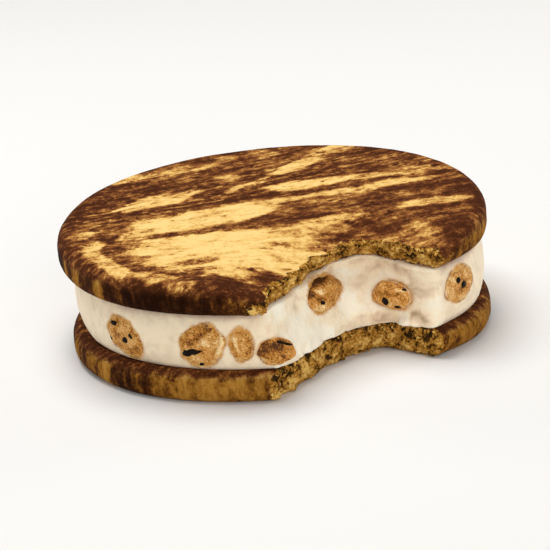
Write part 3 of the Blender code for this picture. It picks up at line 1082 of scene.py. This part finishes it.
# ----------------------------------------------------------------- ice cream
def side_place(heading, height, lean):
    """Local X points out of the slab's side, local Y runs round it."""
    turn = math.radians(heading)
    reach = SLAB.radius + SLAB_BULGE - LUMP_SINK
    place = (SLAB.centre_x + reach * math.cos(turn), reach * math.sin(turn), SLAB.foot + height)
    return (
        Matrix.Translation(place)
        @ Matrix.Rotation(turn, 4, "Z")
        @ Matrix.Rotation(math.radians(lean), 4, "X")
    )


def bite_place(x, y, height, heading):
    return Matrix.Translation((x, y, SLAB.foot + height)) @ Matrix.Rotation(
        math.radians(heading), 4, "Z"
    )


def lumps():
    """Name, place, half sizes, seed and outward direction of every dough lump."""
    found = []
    for name, (heading, height, width, tall, deep, lean) in SIDE_LUMPS.items():
        turn = math.radians(heading)
        outward = Vector((math.cos(turn), math.sin(turn), 0.0))
        found.append((name, side_place(heading, height, lean), (deep, width, tall), outward))
    for name, (x, y, height, long, deep, tall, heading) in BITE_LUMPS.items():
        outward = Vector((math.cos(BITE_HEADING), math.sin(BITE_HEADING), 0.25)).normalized()
        found.append((name, bite_place(x, y, height, heading), (long, deep, tall), outward))
    return [(*lump[:3], seed + 1, lump[3]) for seed, lump in enumerate(found)]


def transformed(points, matrix):
    turned = np.array(matrix.to_3x3())
    return points @ turned.T + np.array(matrix.translation)


def pressed_pockets(points, cover):
    """Moves the slab's surface in behind each lump."""
    for _, place, sizes, _, outward in lumps():
        sizes = np.array(sizes)
        local = transformed(points, place.inverted())
        line = np.array(place.inverted().to_3x3() @ outward)
        # The far crossing of a line along `outward` with the lump's ellipsoid
        scaled, step = local / (sizes - cover), line / (sizes - cover)
        a = step @ step
        b = scaled @ step
        c = (scaled ** 2).sum(1) - 1
        inside = b * b - a * c
        hit = inside > 0
        travel = (-b - np.sqrt(np.where(hit, inside, 0))) / a
        leaving = (-b + np.sqrt(np.where(hit, inside, 0))) / a
        hit &= (travel < 0) & (leaving > -1.5)
        points = points + np.where(hit, travel, 0)[:, None] * np.array(outward)
    return points


# Patches of the bitten face: x, height over the slab's foot, half width, half height in mm,
# strength, above 0 frosty and below 0 dull
BITE_PATCHES = (
    (26.5, 1.6, 2.0, 1.6, -1.6),
    (15.2, 7.8, 1.5, 1.2, -0.6),
    (13.2, 5.4, 1.3, 1.6, 1.2),
    (18.0, 0.8, 5.0, 1.2, -0.8),
    # These two: painted shade under the top cookie.
    (19.5, 10.8, 5.5, 1.1, -0.5),
    (25.0, 7.0, 2.5, 4.5, -0.5),
    # These two: painted light on the bite's left wall.
    (9.0, 2.4, 3.0, 1.6, 0.6),
    (3.0, 4.0, 3.5, 3.5, 0.8),
    (23.6, 0.8, 1.2, 1.2, 1.5),
    # Painted shade under the top cookie.
    (12.0, 11.2, 4.0, 0.8, -0.25),
)


def patch_level(form):
    """How frosty or dull the bitten face is, with painted shade under the top cookie and painted light
    on the bite's left.
    """
    spots = np.stack((form.points[:, 0], form.over_foot), 1)
    near = np.flatnonzero(form.from_bite < 3)
    drift = np.stack([fractal(form.points[near], 2.5, 3, seed) for seed in (48, 49)], 1)
    spots[near] += 0.6 * drift
    level = np.zeros(len(spots))
    for x, height, half_width, half_height, strength in BITE_PATCHES:
        away = np.hypot(*((spots - (x, height)) / (half_width, half_height)).T)
        level += strength * ease((1.5 - away) / 0.9)
    return level


def dough_bleed(points):
    """Share of dough in the cream: half of it at a lump's edge, none a millimetre outside."""
    share = np.zeros(len(points))
    for _, place, sizes, seed, _ in lumps():
        local = transformed(points, place.inverted()) / np.array(sizes)
        reach = np.linalg.norm(local, axis=1)
        near = np.flatnonzero(reach < 1.6)
        apart = Vector((LUMP_APART * seed, 0, 0))
        rays = local[near] / reach[near, None]
        dents = np.array([noise.noise(Vector(ray) * LUMP_WAVES + apart) for ray in rays])
        away = (reach[near] - 1 - LUMP_UNEVEN * dents) * sum(sizes[1:]) / 2
        share[near] = np.maximum(share[near], dough_share(-away))
    return share


def dough_share(inside):
    """Share of dough at a distance inside a lump's edge."""
    return ease((inside + DOUGH_FADE) / (2 * DOUGH_FADE))


def climbing(points, torn):
    """Cream that climbs a little way up the lumps in the bite."""
    for name, place, sizes, _, outward in lumps():
        if name in BITE_LUMPS:
            local = transformed(points, place.inverted()) / np.array(sizes)
            away = np.maximum(np.linalg.norm(local, axis=1) - 1, 0) * min(sizes[1:])
            rise = 0.7 * np.exp(-((away / 1.1) ** 2)) * torn
            points = points + rise[:, None] * np.array(outward)
    return points


def side_waves(points):
    return fractal(points, 7.0, 3, 41) + 0.4 * fractal(points, 1.6, 2, 42)


def contact_shade_share(form):
    """Painted shade: 1 where the side touches a cookie, fading over a millimetre or two."""
    depth = 1.1 + 0.8 * fractal(form.points, 5.0, 2, 47)
    low = 1 - ease(form.over_foot / np.maximum(depth, 0.3))
    high = 1 - ease((SLAB_THICKNESS - form.over_foot) / np.maximum(1.6 * depth, 0.5))
    return np.maximum(low * 0.6, high)


def ice_cream_relief(form, torn, settings):
    normals = normals_of(form.points, form.faces)
    side = side_waves(form.points)
    broken = (
        1.7 * fractal(form.points, 7.5, 2, 43)
        + 0.35 * (0.5 - cells(form.points, 4.0, 44))
        + 0.12 * fractal(form.points, 1.3, 2, 45)
    )
    # Ragged drips where the bitten slab overhangs the lower crumb
    drips = ease(1 - form.over_foot / 2.2) * (0.2 + 1.4 * fractal(form.points, 3.4, 2, 46))
    lift = (1 - torn) * side * settings.side_relief + torn * broken * settings.bite_relief
    inner = ease(np.minimum(form.over_foot, SLAB_THICKNESS - form.over_foot) / 0.5)
    moved = normals * (lift / MM * inner)[:, None]
    moved[:, :2] += normals[:, :2] * (torn * np.maximum(drips, 0) * 0.9)[:, None]
    return moved


def dough_cover(finish, share):
    """Speckled mask of dough against cream."""
    place = finish.place()
    grains = finish.grain(place, 0.4, 3.0, 0.75)
    patches = finish.grain(place, 1.6, 2.0, 0.5)
    return (share + (grains - 0.5) * 0.45 + (patches - 0.5) * 0.9).between(0.16, 0.84)


def cream_colour(finish, settings):
    """Smooth cream with faint duller clouds."""
    place = finish.place()
    clouds = finish.grain(finish.drifted(place, 6.0, 1.5), 5.5, 3.0, 0.55)
    mottle = finish.grain(place, 1.7, 3.0, 0.6)
    return finish.mix(
        (clouds + (mottle - 0.5) * 0.8).between(0.38, 0.70) * 0.85, settings.cream, settings.shade
    )


def ice_cream_finish(settings, dough):
    """Creamy, slightly translucent, rough and icy where bitten."""
    finish = Finish("ice_cream")
    place = finish.place()
    torn = finish.attribute("torn")
    drifted = finish.drifted(place, 6.0, 1.5)
    icy = finish.grain(finish.stretched(drifted, (1.5, 1.5, 1.0)), 3.6, 3.0, 0.55)
    fine = finish.grain(place, 0.9, 4.0, 0.6)
    side = cream_colour(finish, settings)
    # Painted shade where the side meets each cookie.
    side = finish.mix(finish.attribute("stain") * (0.4 + fine), side, settings.painted_contact_shade)
    bitten = finish.ramp(
        (icy - 0.5) * 0.65 + 0.5 + (fine - 0.5) * 0.12 + finish.attribute("patch") * 0.13,
        (0.26, settings.murky),
        (0.36, settings.dull), (0.47, settings.ice), (0.58, settings.frost),
    )
    colour = finish.mix(finish.attribute("fresh"), side, bitten)
    crumbs = finish.ramp(fine, (0.42, dough.peach), (0.60, dough.light))
    colour = finish.mix(dough_cover(finish, finish.attribute("bleed")), colour, crumbs)
    finish.set(
        Base_Color=colour,
        Roughness=0.6,
        Normal=finish.bump(
            fine * (0.4 + 0.4 * torn) + finish.grain(drifted, 2.4, 3.0) * 0.8, 0.22, 0.7
        ),
        Subsurface_Weight=0.35,
        Subsurface_Radius=(1.0, 0.75, 0.55),
        Subsurface_Scale=1.4 * MM,
        Specular_IOR_Level=0.15,
    )
    return finish.material


def build_ice_cream(context):
    settings = context.scene.sandwich_ice_cream
    form = layer_form(SLAB, HIDDEN_SPACING, HIDDEN_SPACING)
    torn = torn_share(form, 2.4, 31)
    patch, bleed = patch_level(form), dough_bleed(form.points)
    raised = climbing(form.points + ice_cream_relief(form, torn, settings), torn)
    form.points = pressed_pockets(raised, LUMP_COVER)
    share = form.over_foot / SLAB_THICKNESS
    form.points[:, 2] += settings.close / MM * (ease(share * 4 - 3) - ease(1 - share * 4))
    piece = mesh_object(
        "ice_cream_slab", form.points, form.faces,
        ice_cream_finish(settings, context.scene.sandwich_dough), torn=torn,
        fresh=1 - ease(form.from_bite / 3.0), stain=contact_shade_share(form),
        patch=patch, bleed=bleed,
    )
    as_piece(piece, "ice_cream", "ice_cream")


# --------------------------------------------------------------------- dough
def lump_points(sizes, seed, fineness):
    """An uneven lump about the origin, as packed but finer."""
    ball = bmesh.new()
    bmesh.ops.create_icosphere(ball, subdivisions=fineness, radius=1.0)
    rays = np.array([vertex.co.normalized() for vertex in ball.verts])
    faces = [tuple(vertex.index for vertex in face.verts) for face in ball.faces]
    ball.free()
    apart = Vector((LUMP_APART * seed, 0, 0))
    dents = np.array([noise.noise(Vector(ray) * LUMP_WAVES + apart) for ray in rays])
    return rays * (np.array(sizes) * (1 + LUMP_UNEVEN * dents)[:, None]), faces


def outside_slab(points):
    """Signed plan distance from points to the slab's outline at their own heights."""
    over_foot = (points[:, 2] - SLAB.foot) / (1 + TILT * points[:, 1] / SLAB_THICKNESS)
    level = np.clip(np.round(over_foot * 2), 0, int(SLAB_THICKNESS * 2)).astype(int)
    away = np.empty(len(points))
    for number in np.unique(level):
        chosen = np.flatnonzero(level == number)
        outline = SLAB.outline(number / 2)[::4]
        inside = within(points[chosen], outline)
        away[chosen] = nearest(points[chosen], outline) * np.where(inside, -1, 1)
    return away


def flush(points, proud, waves):
    """Cuts points off at the slab's wavy round side."""
    away = points[:, :2] - SLAB.middle(0)
    headings = np.arctan2(away[:, 1], away[:, 0])
    share = np.clip((points[:, 2] - SLAB.foot) / (SLAB_THICKNESS + TILT * points[:, 1]), 0, 1)
    reach = SLAB.reach(headings, share * SLAB_THICKNESS) + proud + waves * side_waves(points)
    scale = np.minimum(1.0, reach / np.hypot(*away.T))
    cut = points.copy()
    cut[:, :2] = SLAB.middle(0) + away * scale[:, None]
    low, high = SLAB.foot, SLAB.height(SLAB_THICKNESS, points[:, 1])
    cut[:, 2] = np.clip(points[:, 2], low - 0.1, high + 0.1)
    return cut


def from_seam(points, standing):
    """Distance of a lump's points from the line where it comes out of the slab."""
    buried = points[standing <= 0]
    tree = KDTree(len(buried))
    for number, point in enumerate(buried):
        tree.insert(point, number)
    tree.balance()
    return np.array([tree.find(point)[2] for point in points])


# Strokes over a lump: right, up at both ends, half width in mm, tone, relief in mm
STROKES = {
    "left": ((0.5, -3.0, 2.5, -3.5, 1.2, 0.15, 0.0),),
    "front_large": ((-2.3, 0.2, 2.0, 3.9, 0.8, -0.42, -0.25), (3.6, 4.3, 4.2, 0.8, 0.45, 0.7, 0.3),
                    (4.2, 0.8, 1.6, -4.2, 0.45, 0.7, 0.3), (-3.0, -2.2, 1.0, -3.4, 1.2, 0.25, 0.0),
                    (0.2, 1.2, 2.4, 0.6, 1.3, 0.3, 0.0)),
    "front_small": ((-1.4, 2.4, -0.2, 2.4, 0.9, -0.35, -0.1), (-1.6, -2.6, -0.8, -2.2, 0.8, -0.5, 0.0),
                    (1.2, 1.6, 1.5, -1.5, 0.7, -0.15, 0.0), (-1.2, 1.2, -0.6, -1.6, 0.4, 0.6, 0.15)),
    "front_flat": ((-2.2, 0.4, 1.0, 0.5, 2.2, -0.65, 0.0), (-2.0, -2.0, 2.2, -2.2, 0.5, 0.3, 0.0)),
    "right": ((-1.0, 2.8, 0.8, 2.9, 1.4, 0.25, 0.0), (-2.0, -1.2, 1.6, -0.9, 0.3, -0.9, -0.2),
              (-2.2, 0.6, -0.6, 1.0, 0.6, -0.4, -0.1)),
    # bite_round: the first stroke darkens its top, painted shade under the top cookie; the last
    # lightens its foot, painted light.
    "bite_round": ((-2.6, 3.4, 2.0, 3.6, 1.9, -0.8, 0.0), (-2.0, 0.6, 1.0, -0.6, 0.7, -0.32, -0.15),
                   (-0.6, 1.2, 0.8, 0.4, 0.35, 0.6, 0.1), (-1.0, -3.0, 2.5, -2.6, 1.6, 0.2, 0.0)),
    "bite_oval": ((-2.8, 1.0, -1.0, 0.2, 0.6, -0.15, -0.1), (0.2, 0.6, 2.6, 0.6, 1.0, 0.2, 0.0),
                  (-0.8, 1.0, 0.2, 0.9, 0.4, 0.45, 0.1)),
}


def across_and_up(outward):
    """Directions right and up on a lump, seen from outside."""
    level = Vector((outward.x, outward.y, 0)).normalized()
    right = Vector((-level.y, level.x, 0))
    return right, outward.cross(right)


def stroked(points, name, place, outward):
    """Tone and relief that the strokes give each point of a lump."""
    right, up = across_and_up(outward)
    local = points - np.array(place.translation)
    flat = np.stack((local @ np.array(right), local @ np.array(up)), 1)
    facing = ease(local @ np.array(outward) / 1.0 + 0.5)
    tone, relief = np.zeros(len(points)), np.zeros(len(points))
    for x0, y0, x1, y1, half_width, change, lift in STROKES.get(name, ()):
        start, run = np.array((x0, y0)), np.array((x1 - x0, y1 - y0))
        share = np.clip((flat - start) @ run / (run @ run), 0, 1)
        away = np.hypot(*(flat - start - share[:, None] * run).T)
        cover = (1 - ease(away / (1.5 * half_width))) * facing
        tone += change * cover
        relief += lift * cover
    return tone, relief


def dough_finish(settings, cream):
    """Grainy dough with brown hollows, thinly covered with cream round its edge."""
    finish = Finish("cookie_dough")
    place = finish.place()
    grains = finish.grain(place, 0.55, 4.0, 0.8)
    specks = finish.grain(place, 0.3, 2.0, 0.7)
    patches = finish.grain(place, 3.2, 3.0, 0.55)
    tone = (
        (grains - 0.5) * 0.8 + (patches - 0.5) * 0.6 + (specks - 0.5) * 0.9
        + finish.attribute("tone") * 0.62 + 0.53
    )
    colour = finish.ramp(
        tone, (0.18, settings.burnt), (0.34, settings.brown), (0.50, settings.peach),
        (0.66, settings.light), (0.82, settings.sugar),
    )
    cover = dough_cover(finish, finish.attribute("share"))
    finish.set(
        Base_Color=finish.mix(cover, cream_colour(finish, cream), colour),
        Roughness=0.55,
        Normal=finish.bump(grains + specks * 0.5, 0.16, 0.8),
        Subsurface_Weight=0.25,
        Subsurface_Radius=(1.0, 0.6, 0.35),
        Subsurface_Scale=1.2 * MM,
        Specular_IOR_Level=0.12,
    )
    return finish.material


def build_dough(context):
    settings = context.scene.sandwich_dough
    cream = context.scene.sandwich_ice_cream
    material = dough_finish(settings, cream)
    for name, place, sizes, seed, outward in lumps():
        points, faces = lump_points(np.array(sizes), seed, LUMP_FINENESS)
        points = transformed(points, place)
        standing = outside_slab(points)
        if name in SIDE_LUMPS:
            points = flush(points, LUMP_PROUD, cream.side_relief / MM)
        tone, lift = stroked(points, name, place, outward)
        normals = normals_of(points, faces)
        relief = fractal(points, 1.8, 4, 50 + seed)
        inside = from_seam(points, standing)
        sunk = SEAM_SINK * np.clip(1 - inside / LUMP_COVER, 0, 1)
        lift = (settings.grain_relief / MM * relief + lift) * ease(inside / 0.6) - sunk
        points += normals * lift[:, None]
        piece = mesh_object(
            "dough_lump_" + name, points, faces, material,
            # The tone follows the relief, darker in the hollows and lighter on the bumps: painted
            # shade and light.
            tone=tone + relief * 0.3, share=dough_share(inside),
        )
        piece.data.set_sharp_from_angle(angle=math.radians(50))
        as_piece(piece, "cookie_dough", "dough_" + name)


# ----------------------------------------------------------------- chocolate
# On each lump: right, up, half length, half width in mm, turn in degrees, seen from outside
BITS = {
    "left": ((-2.4, 2.4, 1.0, 0.65, -8), (-4.0, -1.1, 0.85, 0.45, 75), (0.5, -0.5, 1.05, 0.8, 15),
             (2.1, 0.7, 0.75, 0.45, -40)),
    "front_large": ((-2.1, -1.2, 2.3, 0.75, 8), (-3.1, -1.5, 1.1, 0.85, 0), (-0.4, -3.8, 0.7, 0.5, 0)),
    "front_flat": ((0.9, 1.9, 0.8, 0.35, -20), (2.2, 1.5, 1.1, 0.3, -14)),
    "bite_round": ((-3.1, 3.0, 1.1, 0.8, 0), (-2.5, 1.3, 1.0, 0.5, 20), (0.6, -1.3, 0.6, 0.5, 0)),
    "bite_oval": ((-2.6, -0.6, 1.1, 0.95, 0), (0.6, 0.9, 0.6, 0.4, -20), (-0.9, -2.2, 0.7, 0.4, 0)),
    "right": ((-0.6, 0.9, 0.8, 0.7, 0), (0.9, -0.4, 1.1, 0.7, 10)),
    "far_right": ((-1.6, 0.7, 0.9, 0.6, 30), (1.4, -0.9, 0.7, 0.5, 0)),
    "back_right": ((0.3, 0.5, 0.8, 0.6, 60),),
    "back": ((-2.2, 0.9, 1.0, 0.7, 20), (1.0, -1.0, 0.8, 0.6, 70), (2.4, 1.1, 0.6, 0.45, 0)),
    "back_left": ((-0.8, 0.4, 0.8, 0.6, 10), (1.2, -0.6, 0.6, 0.45, 0)),
    "far_left": ((-1.9, -0.6, 0.9, 0.7, 40), (0.7, 1.2, 1.0, 0.6, 10)),
}


def chip_points(half_length, half_width, seed):
    """A broken chip: the hull of scattered points."""
    spread = np.random.default_rng(seed)
    rays = spread.normal(size=(36, 3))
    rays /= np.linalg.norm(rays, axis=1)[:, None]
    rays *= spread.uniform(0.85, 1.08, size=(36, 1))
    return rays * (half_length, half_width, half_width * 0.8)


def chocolate_finish(settings):
    finish = Finish("chocolate")
    rough = finish.grain(finish.place(), 0.5, 3.0)
    finish.set(
        Base_Color=finish.mix(rough.between(0.5, 0.7), settings.chocolate, (0.022, 0.010, 0.004)),
        Roughness=0.6,
        Normal=finish.bump(rough, 0.12, 0.7),
        Specular_IOR_Level=0.08,
    )
    return finish.material


def build_chocolate(context):
    chips = bmesh.new()
    seed = 100
    for name, place, _, _, outward in lumps():
        lump = bpy.data.objects["dough_lump_" + name].data
        corners = [vertex.co / MM for vertex in lump.vertices]
        surface = BVHTree.FromPolygons(corners, [tuple(face.vertices) for face in lump.polygons])
        right, up = across_and_up(outward)
        for across, rise, half_length, half_width, turn in BITS.get(name, ()):
            start = place.translation + right * across + up * rise + outward * 20
            hit, normal, _, _ = surface.ray_cast(start, -outward)
            if hit is None:
                raise RuntimeError(f"a chocolate bit misses the lump {name}")
            seed += 1
            spin = Matrix.Rotation(math.radians(turn), 3, normal)
            run = (spin @ right - normal * (spin @ right).dot(normal)).normalized()
            frame_of_chip = np.array((run, normal.cross(run), normal))
            points = chip_points(half_length, half_width, seed) @ frame_of_chip
            points += np.array(hit - normal * half_width * 0.3)
            corners = [chips.verts.new(point * MM) for point in points]
            bmesh.ops.convex_hull(chips, input=corners, use_existing_faces=False)
    loose = [vertex for vertex in chips.verts if not vertex.link_faces]
    bmesh.ops.delete(chips, geom=loose, context="VERTS")
    bmesh.ops.recalc_face_normals(chips, faces=chips.faces)
    mesh = bpy.data.meshes.new("chocolate_bits")
    chips.to_mesh(mesh)
    chips.free()
    mesh.materials.append(chocolate_finish(context.scene.sandwich_dough))
    piece = bpy.data.objects.new("chocolate_bits", mesh)
    context.scene.collection.objects.link(piece)
    as_piece(piece, "chocolate")


# -------------------------------------------------------------------- crumbs
CRUMB_FOOT = 0.6                        # loose crumbs stay this far over the floor


def crumb_finish(settings):
    finish = Finish("loose_crumb")
    place = finish.place()
    grains = finish.grain(place, 0.9, 4.0, 0.7)
    clumps = finish.grain(place, 2.4, 4.0, 0.65)
    body = (grains - 0.5) * 1.2 + (clumps - 0.5) * 1.8 + 0.5
    # Its lightest colour lies on the raised grains of the bump: a painted highlight.
    colour = finish.ramp(
        body, (0.26, settings.crumb_dark), (0.37, settings.crumb_brown), (0.46, settings.crumb),
        (0.56, settings.crumb), (0.70, settings.crumb_gold_highlight),
    )
    finish.set(
        Base_Color=colour, Roughness=0.8, Normal=finish.bump(grains, 0.1, 0.7),
        Specular_IOR_Level=0.08,
    )
    return finish.material


def crumb_tree():
    """Scatters broken grains over the torn faces it is given."""
    tree = bpy.data.node_groups.new("Scatter crumbs", "GeometryNodeTree")
    sockets = (
        ("Geometry", "INPUT", "NodeSocketGeometry"), ("Density", "INPUT", "NodeSocketFloat"),
        ("Smallest", "INPUT", "NodeSocketFloat"), ("Largest", "INPUT", "NodeSocketFloat"),
        ("Seed", "INPUT", "NodeSocketInt"), ("Finish", "INPUT", "NodeSocketMaterial"),
        ("Geometry", "OUTPUT", "NodeSocketGeometry"),
    )
    for name, way, kind in sockets:
        tree.interface.new_socket(name, in_out=way, socket_type=kind)
    nodes = Nodes(tree)
    inputs = tree.nodes.new("NodeGroupInput").outputs
    given = {socket.name: Channel(nodes, socket) for socket in inputs if socket.name}
    grain = nodes.node(
        "GeometryNodeMeshUVSphere", None, {"Segments": 7, "Rings": 5, "Radius": 0.5}
    )
    place = nodes.node("GeometryNodeInputPosition")
    lumpy = nodes.node("ShaderNodeTexNoise", None, {"Vector": place, "Scale": 2.6}, "Color")
    centred = nodes.node(
        "ShaderNodeVectorMath", {"operation": "SUBTRACT"}, {0: lumpy, 1: (0.5, 0.5, 0.5)}
    )
    push = nodes.node("ShaderNodeVectorMath", {"operation": "SCALE"}, {0: centred, "Scale": 0.9})
    grain = nodes.node("GeometryNodeSetPosition", None, {"Geometry": grain, "Offset": push})
    spots = nodes.node(
        "GeometryNodeDistributePointsOnFaces", None,
        {"Mesh": given["Geometry"], "Density": given["Density"], "Seed": given["Seed"]},
    )
    size = nodes.node(
        "FunctionNodeRandomValue", {"data_type": "FLOAT"},
        {2: given["Smallest"], 3: given["Largest"], "Seed": given["Seed"]}, 1,
    )
    skew = nodes.node(
        "FunctionNodeRandomValue", {"data_type": "FLOAT_VECTOR"},
        {0: (0.65, 0.65, 0.55), 1: (1.15, 1.15, 0.95)},
    )
    turn = nodes.node(
        "FunctionNodeRandomValue", {"data_type": "FLOAT_VECTOR"}, {1: (6.28, 6.28, 6.28)}
    )
    scale = nodes.node("ShaderNodeVectorMath", {"operation": "SCALE"}, {0: skew, "Scale": size})
    placed = nodes.node(
        "GeometryNodeInstanceOnPoints", None,
        {"Points": spots, "Instance": grain, "Scale": scale, "Rotation": turn},
    )
    real = nodes.node("GeometryNodeRealizeInstances", None, {"Geometry": placed})
    done = nodes.node(
        "GeometryNodeSetMaterial", None, {"Geometry": real, "Material": given["Finish"]}
    )
    nodes.node("NodeGroupOutput", None, {"Geometry": done})
    return tree


def torn_faces():
    """The torn faces of both cookies, as one mesh."""
    patch = bmesh.new()
    for name in ("bottom_cookie_baked", "top_cookie_baked"):
        mesh = bpy.data.objects[name].data
        torn = np.empty(len(mesh.vertices), np.float32)
        mesh.attributes["torn"].data.foreach_get("value", torn)
        corners = {}
        for face in mesh.polygons:
            if min(torn[k] for k in face.vertices) < 0.55 or face.center.z < CRUMB_FOOT * MM:
                continue
            for k in face.vertices:
                if k not in corners:
                    corners[k] = patch.verts.new(mesh.vertices[k].co)
            patch.faces.new([corners[k] for k in face.vertices])
    made = bpy.data.meshes.new("torn_faces")
    patch.to_mesh(made)
    patch.free()
    return made


def plain_mesh(obj, name):
    """The evaluated object as a plain mesh piece."""
    bpy.context.view_layer.update()
    graph = bpy.context.evaluated_depsgraph_get()
    mesh = bpy.data.meshes.new_from_object(obj.evaluated_get(graph))
    mesh.name = name
    bpy.data.objects.remove(obj, do_unlink=True)
    piece = bpy.data.objects.new(name, mesh)
    bpy.context.scene.collection.objects.link(piece)
    return piece


def build_crumbs(context):
    settings = context.scene.sandwich_crumbs
    base = bpy.data.objects.new("crumb_base", torn_faces())
    context.scene.collection.objects.link(base)
    scatter = base.modifiers.new("crumbs", "NODES")
    tree = crumb_tree()
    scatter.node_group = tree
    values = {
        "Density": settings.density / MM ** 2,
        "Smallest": settings.smallest,
        "Largest": settings.largest,
        "Seed": settings.seed,
        "Finish": crumb_finish(context.scene.sandwich_cookie),
    }
    for item in tree.interface.items_tree:
        if item.in_out == "INPUT" and item.name in values:
            scatter[item.identifier] = values[item.name]
    piece = plain_mesh(base, "loose_crumbs")
    as_piece(piece, "marbled_cookie")


# --------------------------------------------------------------------- stage
def area_light(name, power, size, place, colour=(1.0, 1.0, 1.0)):
    """A square light that faces the sandwich."""
    light = bpy.data.lights.new(name, "AREA")
    light.energy = power
    light.size = size
    light.color = colour
    obj = bpy.data.objects.new(name, light)
    obj.location = place
    obj.rotation_euler = (Vector((0, 0, 0.012)) - Vector(place)).to_track_quat("-Z", "Y").to_euler()
    bpy.context.scene.collection.objects.link(obj)


def floor_finish(settings):
    finish = Finish("studio_floor")
    finish.set(Base_Color=opaque(settings.floor), Roughness=0.9, Specular_IOR_Level=0.1)
    return finish.material


def build_stage(context):
    settings = context.scene.sandwich_stage
    floor = bmesh.new()
    bmesh.ops.create_circle(floor, cap_ends=True, radius=4.0, segments=96)
    mesh = bpy.data.meshes.new("studio_floor")
    floor.to_mesh(mesh)
    floor.free()
    mesh.materials.append(floor_finish(settings))
    ground = bpy.data.objects.new("studio_floor", mesh)
    context.scene.collection.objects.link(ground)

    world = bpy.data.worlds.new("pale_surround")
    world.use_nodes = True
    background = world.node_tree.nodes["Background"]
    background.inputs["Color"].default_value = (1.0, 0.985, 0.965, 1.0)
    background.inputs["Strength"].default_value = settings.surround
    context.scene.world = world

    area_light("overhead_light", settings.key, 0.55, (-0.10, 0.12, 0.70))
    area_light("front_light", settings.fill, 0.50, (0.22, -0.82, 0.35))
    area_light("left_light", settings.edge, 0.25, (-0.55, 0.30, 0.14))
    area_light("right_light", settings.edge, 0.25, (0.55, 0.30, 0.14))

    low, high = (Vector(corner) for corner in SOLIDS_BOX)
    target = (low + high) / 2 + Vector((-0.2, -0.4, -1.9)) * MM
    forward = Vector((0, math.cos(settings.camera_height), -math.sin(settings.camera_height)))
    camera = bpy.data.objects.new("camera", bpy.data.cameras.new("camera"))
    camera.data.lens = settings.lens
    camera.data.sensor_width = 36.0
    camera.location = target - forward * settings.camera_distance
    roll = Quaternion((0, 0, 1), settings.camera_roll)
    camera.rotation_euler = (forward.to_track_quat("-Z", "Y") @ roll).to_euler()
    context.scene.collection.objects.link(camera)
    context.scene.camera = camera
    context.scene.view_settings.view_transform = "Standard"


# ------------------------------------------------------------------- add-on
class SANDWICH_OT_stage(bpy.types.Operator):
    """Lay the floor and set the lights and camera"""

    bl_idname = "sandwich.stage"
    bl_label = "Floor, lights and camera"

    def execute(self, context):
        build_stage(context)
        return {"FINISHED"}


class SANDWICH_OT_cookies(bpy.types.Operator):
    """Make both marbled cookies"""

    bl_idname = "sandwich.cookies"
    bl_label = "Cookies"

    def execute(self, context):
        build_cookies(context)
        return {"FINISHED"}


class SANDWICH_OT_ice_cream(bpy.types.Operator):
    """Make the bitten slab of ice cream"""

    bl_idname = "sandwich.ice_cream"
    bl_label = "Ice cream"

    def execute(self, context):
        build_ice_cream(context)
        return {"FINISHED"}


class SANDWICH_OT_dough(bpy.types.Operator):
    """Make the lumps of cookie dough"""

    bl_idname = "sandwich.dough"
    bl_label = "Cookie dough"

    def execute(self, context):
        build_dough(context)
        return {"FINISHED"}


class SANDWICH_OT_chocolate(bpy.types.Operator):
    """Set the chocolate bits in the dough"""

    bl_idname = "sandwich.chocolate"
    bl_label = "Chocolate bits"

    def execute(self, context):
        build_chocolate(context)
        return {"FINISHED"}


class SANDWICH_OT_crumbs(bpy.types.Operator):
    """Scatter crumbs over the torn cookies"""

    bl_idname = "sandwich.crumbs"
    bl_label = "Crumbs"

    def execute(self, context):
        build_crumbs(context)
        return {"FINISHED"}


OPERATORS = (
    SANDWICH_OT_stage,
    SANDWICH_OT_cookies,
    SANDWICH_OT_ice_cream,
    SANDWICH_OT_dough,
    SANDWICH_OT_chocolate,
    SANDWICH_OT_crumbs,
)
SETTINGS = {
    "sandwich_cookie": SandwichCookieSettings,
    "sandwich_ice_cream": SandwichIceCreamSettings,
    "sandwich_dough": SandwichDoughSettings,
    "sandwich_crumbs": SandwichCrumbSettings,
    "sandwich_stage": SandwichStageSettings,
}


class SANDWICH_PT_panel(bpy.types.Panel):
    """Lists the settings and the building steps"""

    bl_label = "Ice cream sandwich"
    bl_idname = "SANDWICH_PT_panel"
    bl_space_type = "VIEW_3D"
    bl_region_type = "UI"
    bl_category = "Sandwich"

    def draw(self, context):
        for step in OPERATORS:
            self.layout.operator(step.bl_idname)
        for group, kind in SETTINGS.items():
            box = self.layout.box()
            box.label(text=kind.__doc__)
            for name in kind.__annotations__:
                box.prop(getattr(context.scene, group), name)


def register():
    for group, kind in SETTINGS.items():
        bpy.utils.register_class(kind)
        setattr(bpy.types.Scene, group, bpy.props.PointerProperty(type=kind))
    for step in OPERATORS:
        bpy.utils.register_class(step)
    bpy.utils.register_class(SANDWICH_PT_panel)


def unregister():
    bpy.utils.unregister_class(SANDWICH_PT_panel)
    for step in reversed(OPERATORS):
        bpy.utils.unregister_class(step)
    for group, kind in SETTINGS.items():
        delattr(bpy.types.Scene, group)
        bpy.utils.unregister_class(kind)


def main():
    register()
    bpy.ops.sandwich.stage()
    bpy.ops.sandwich.cookies()
    bpy.ops.sandwich.ice_cream()
    bpy.ops.sandwich.dough()
    bpy.ops.sandwich.chocolate()
    bpy.ops.sandwich.crumbs()


if __name__ == "__main__":
    main()
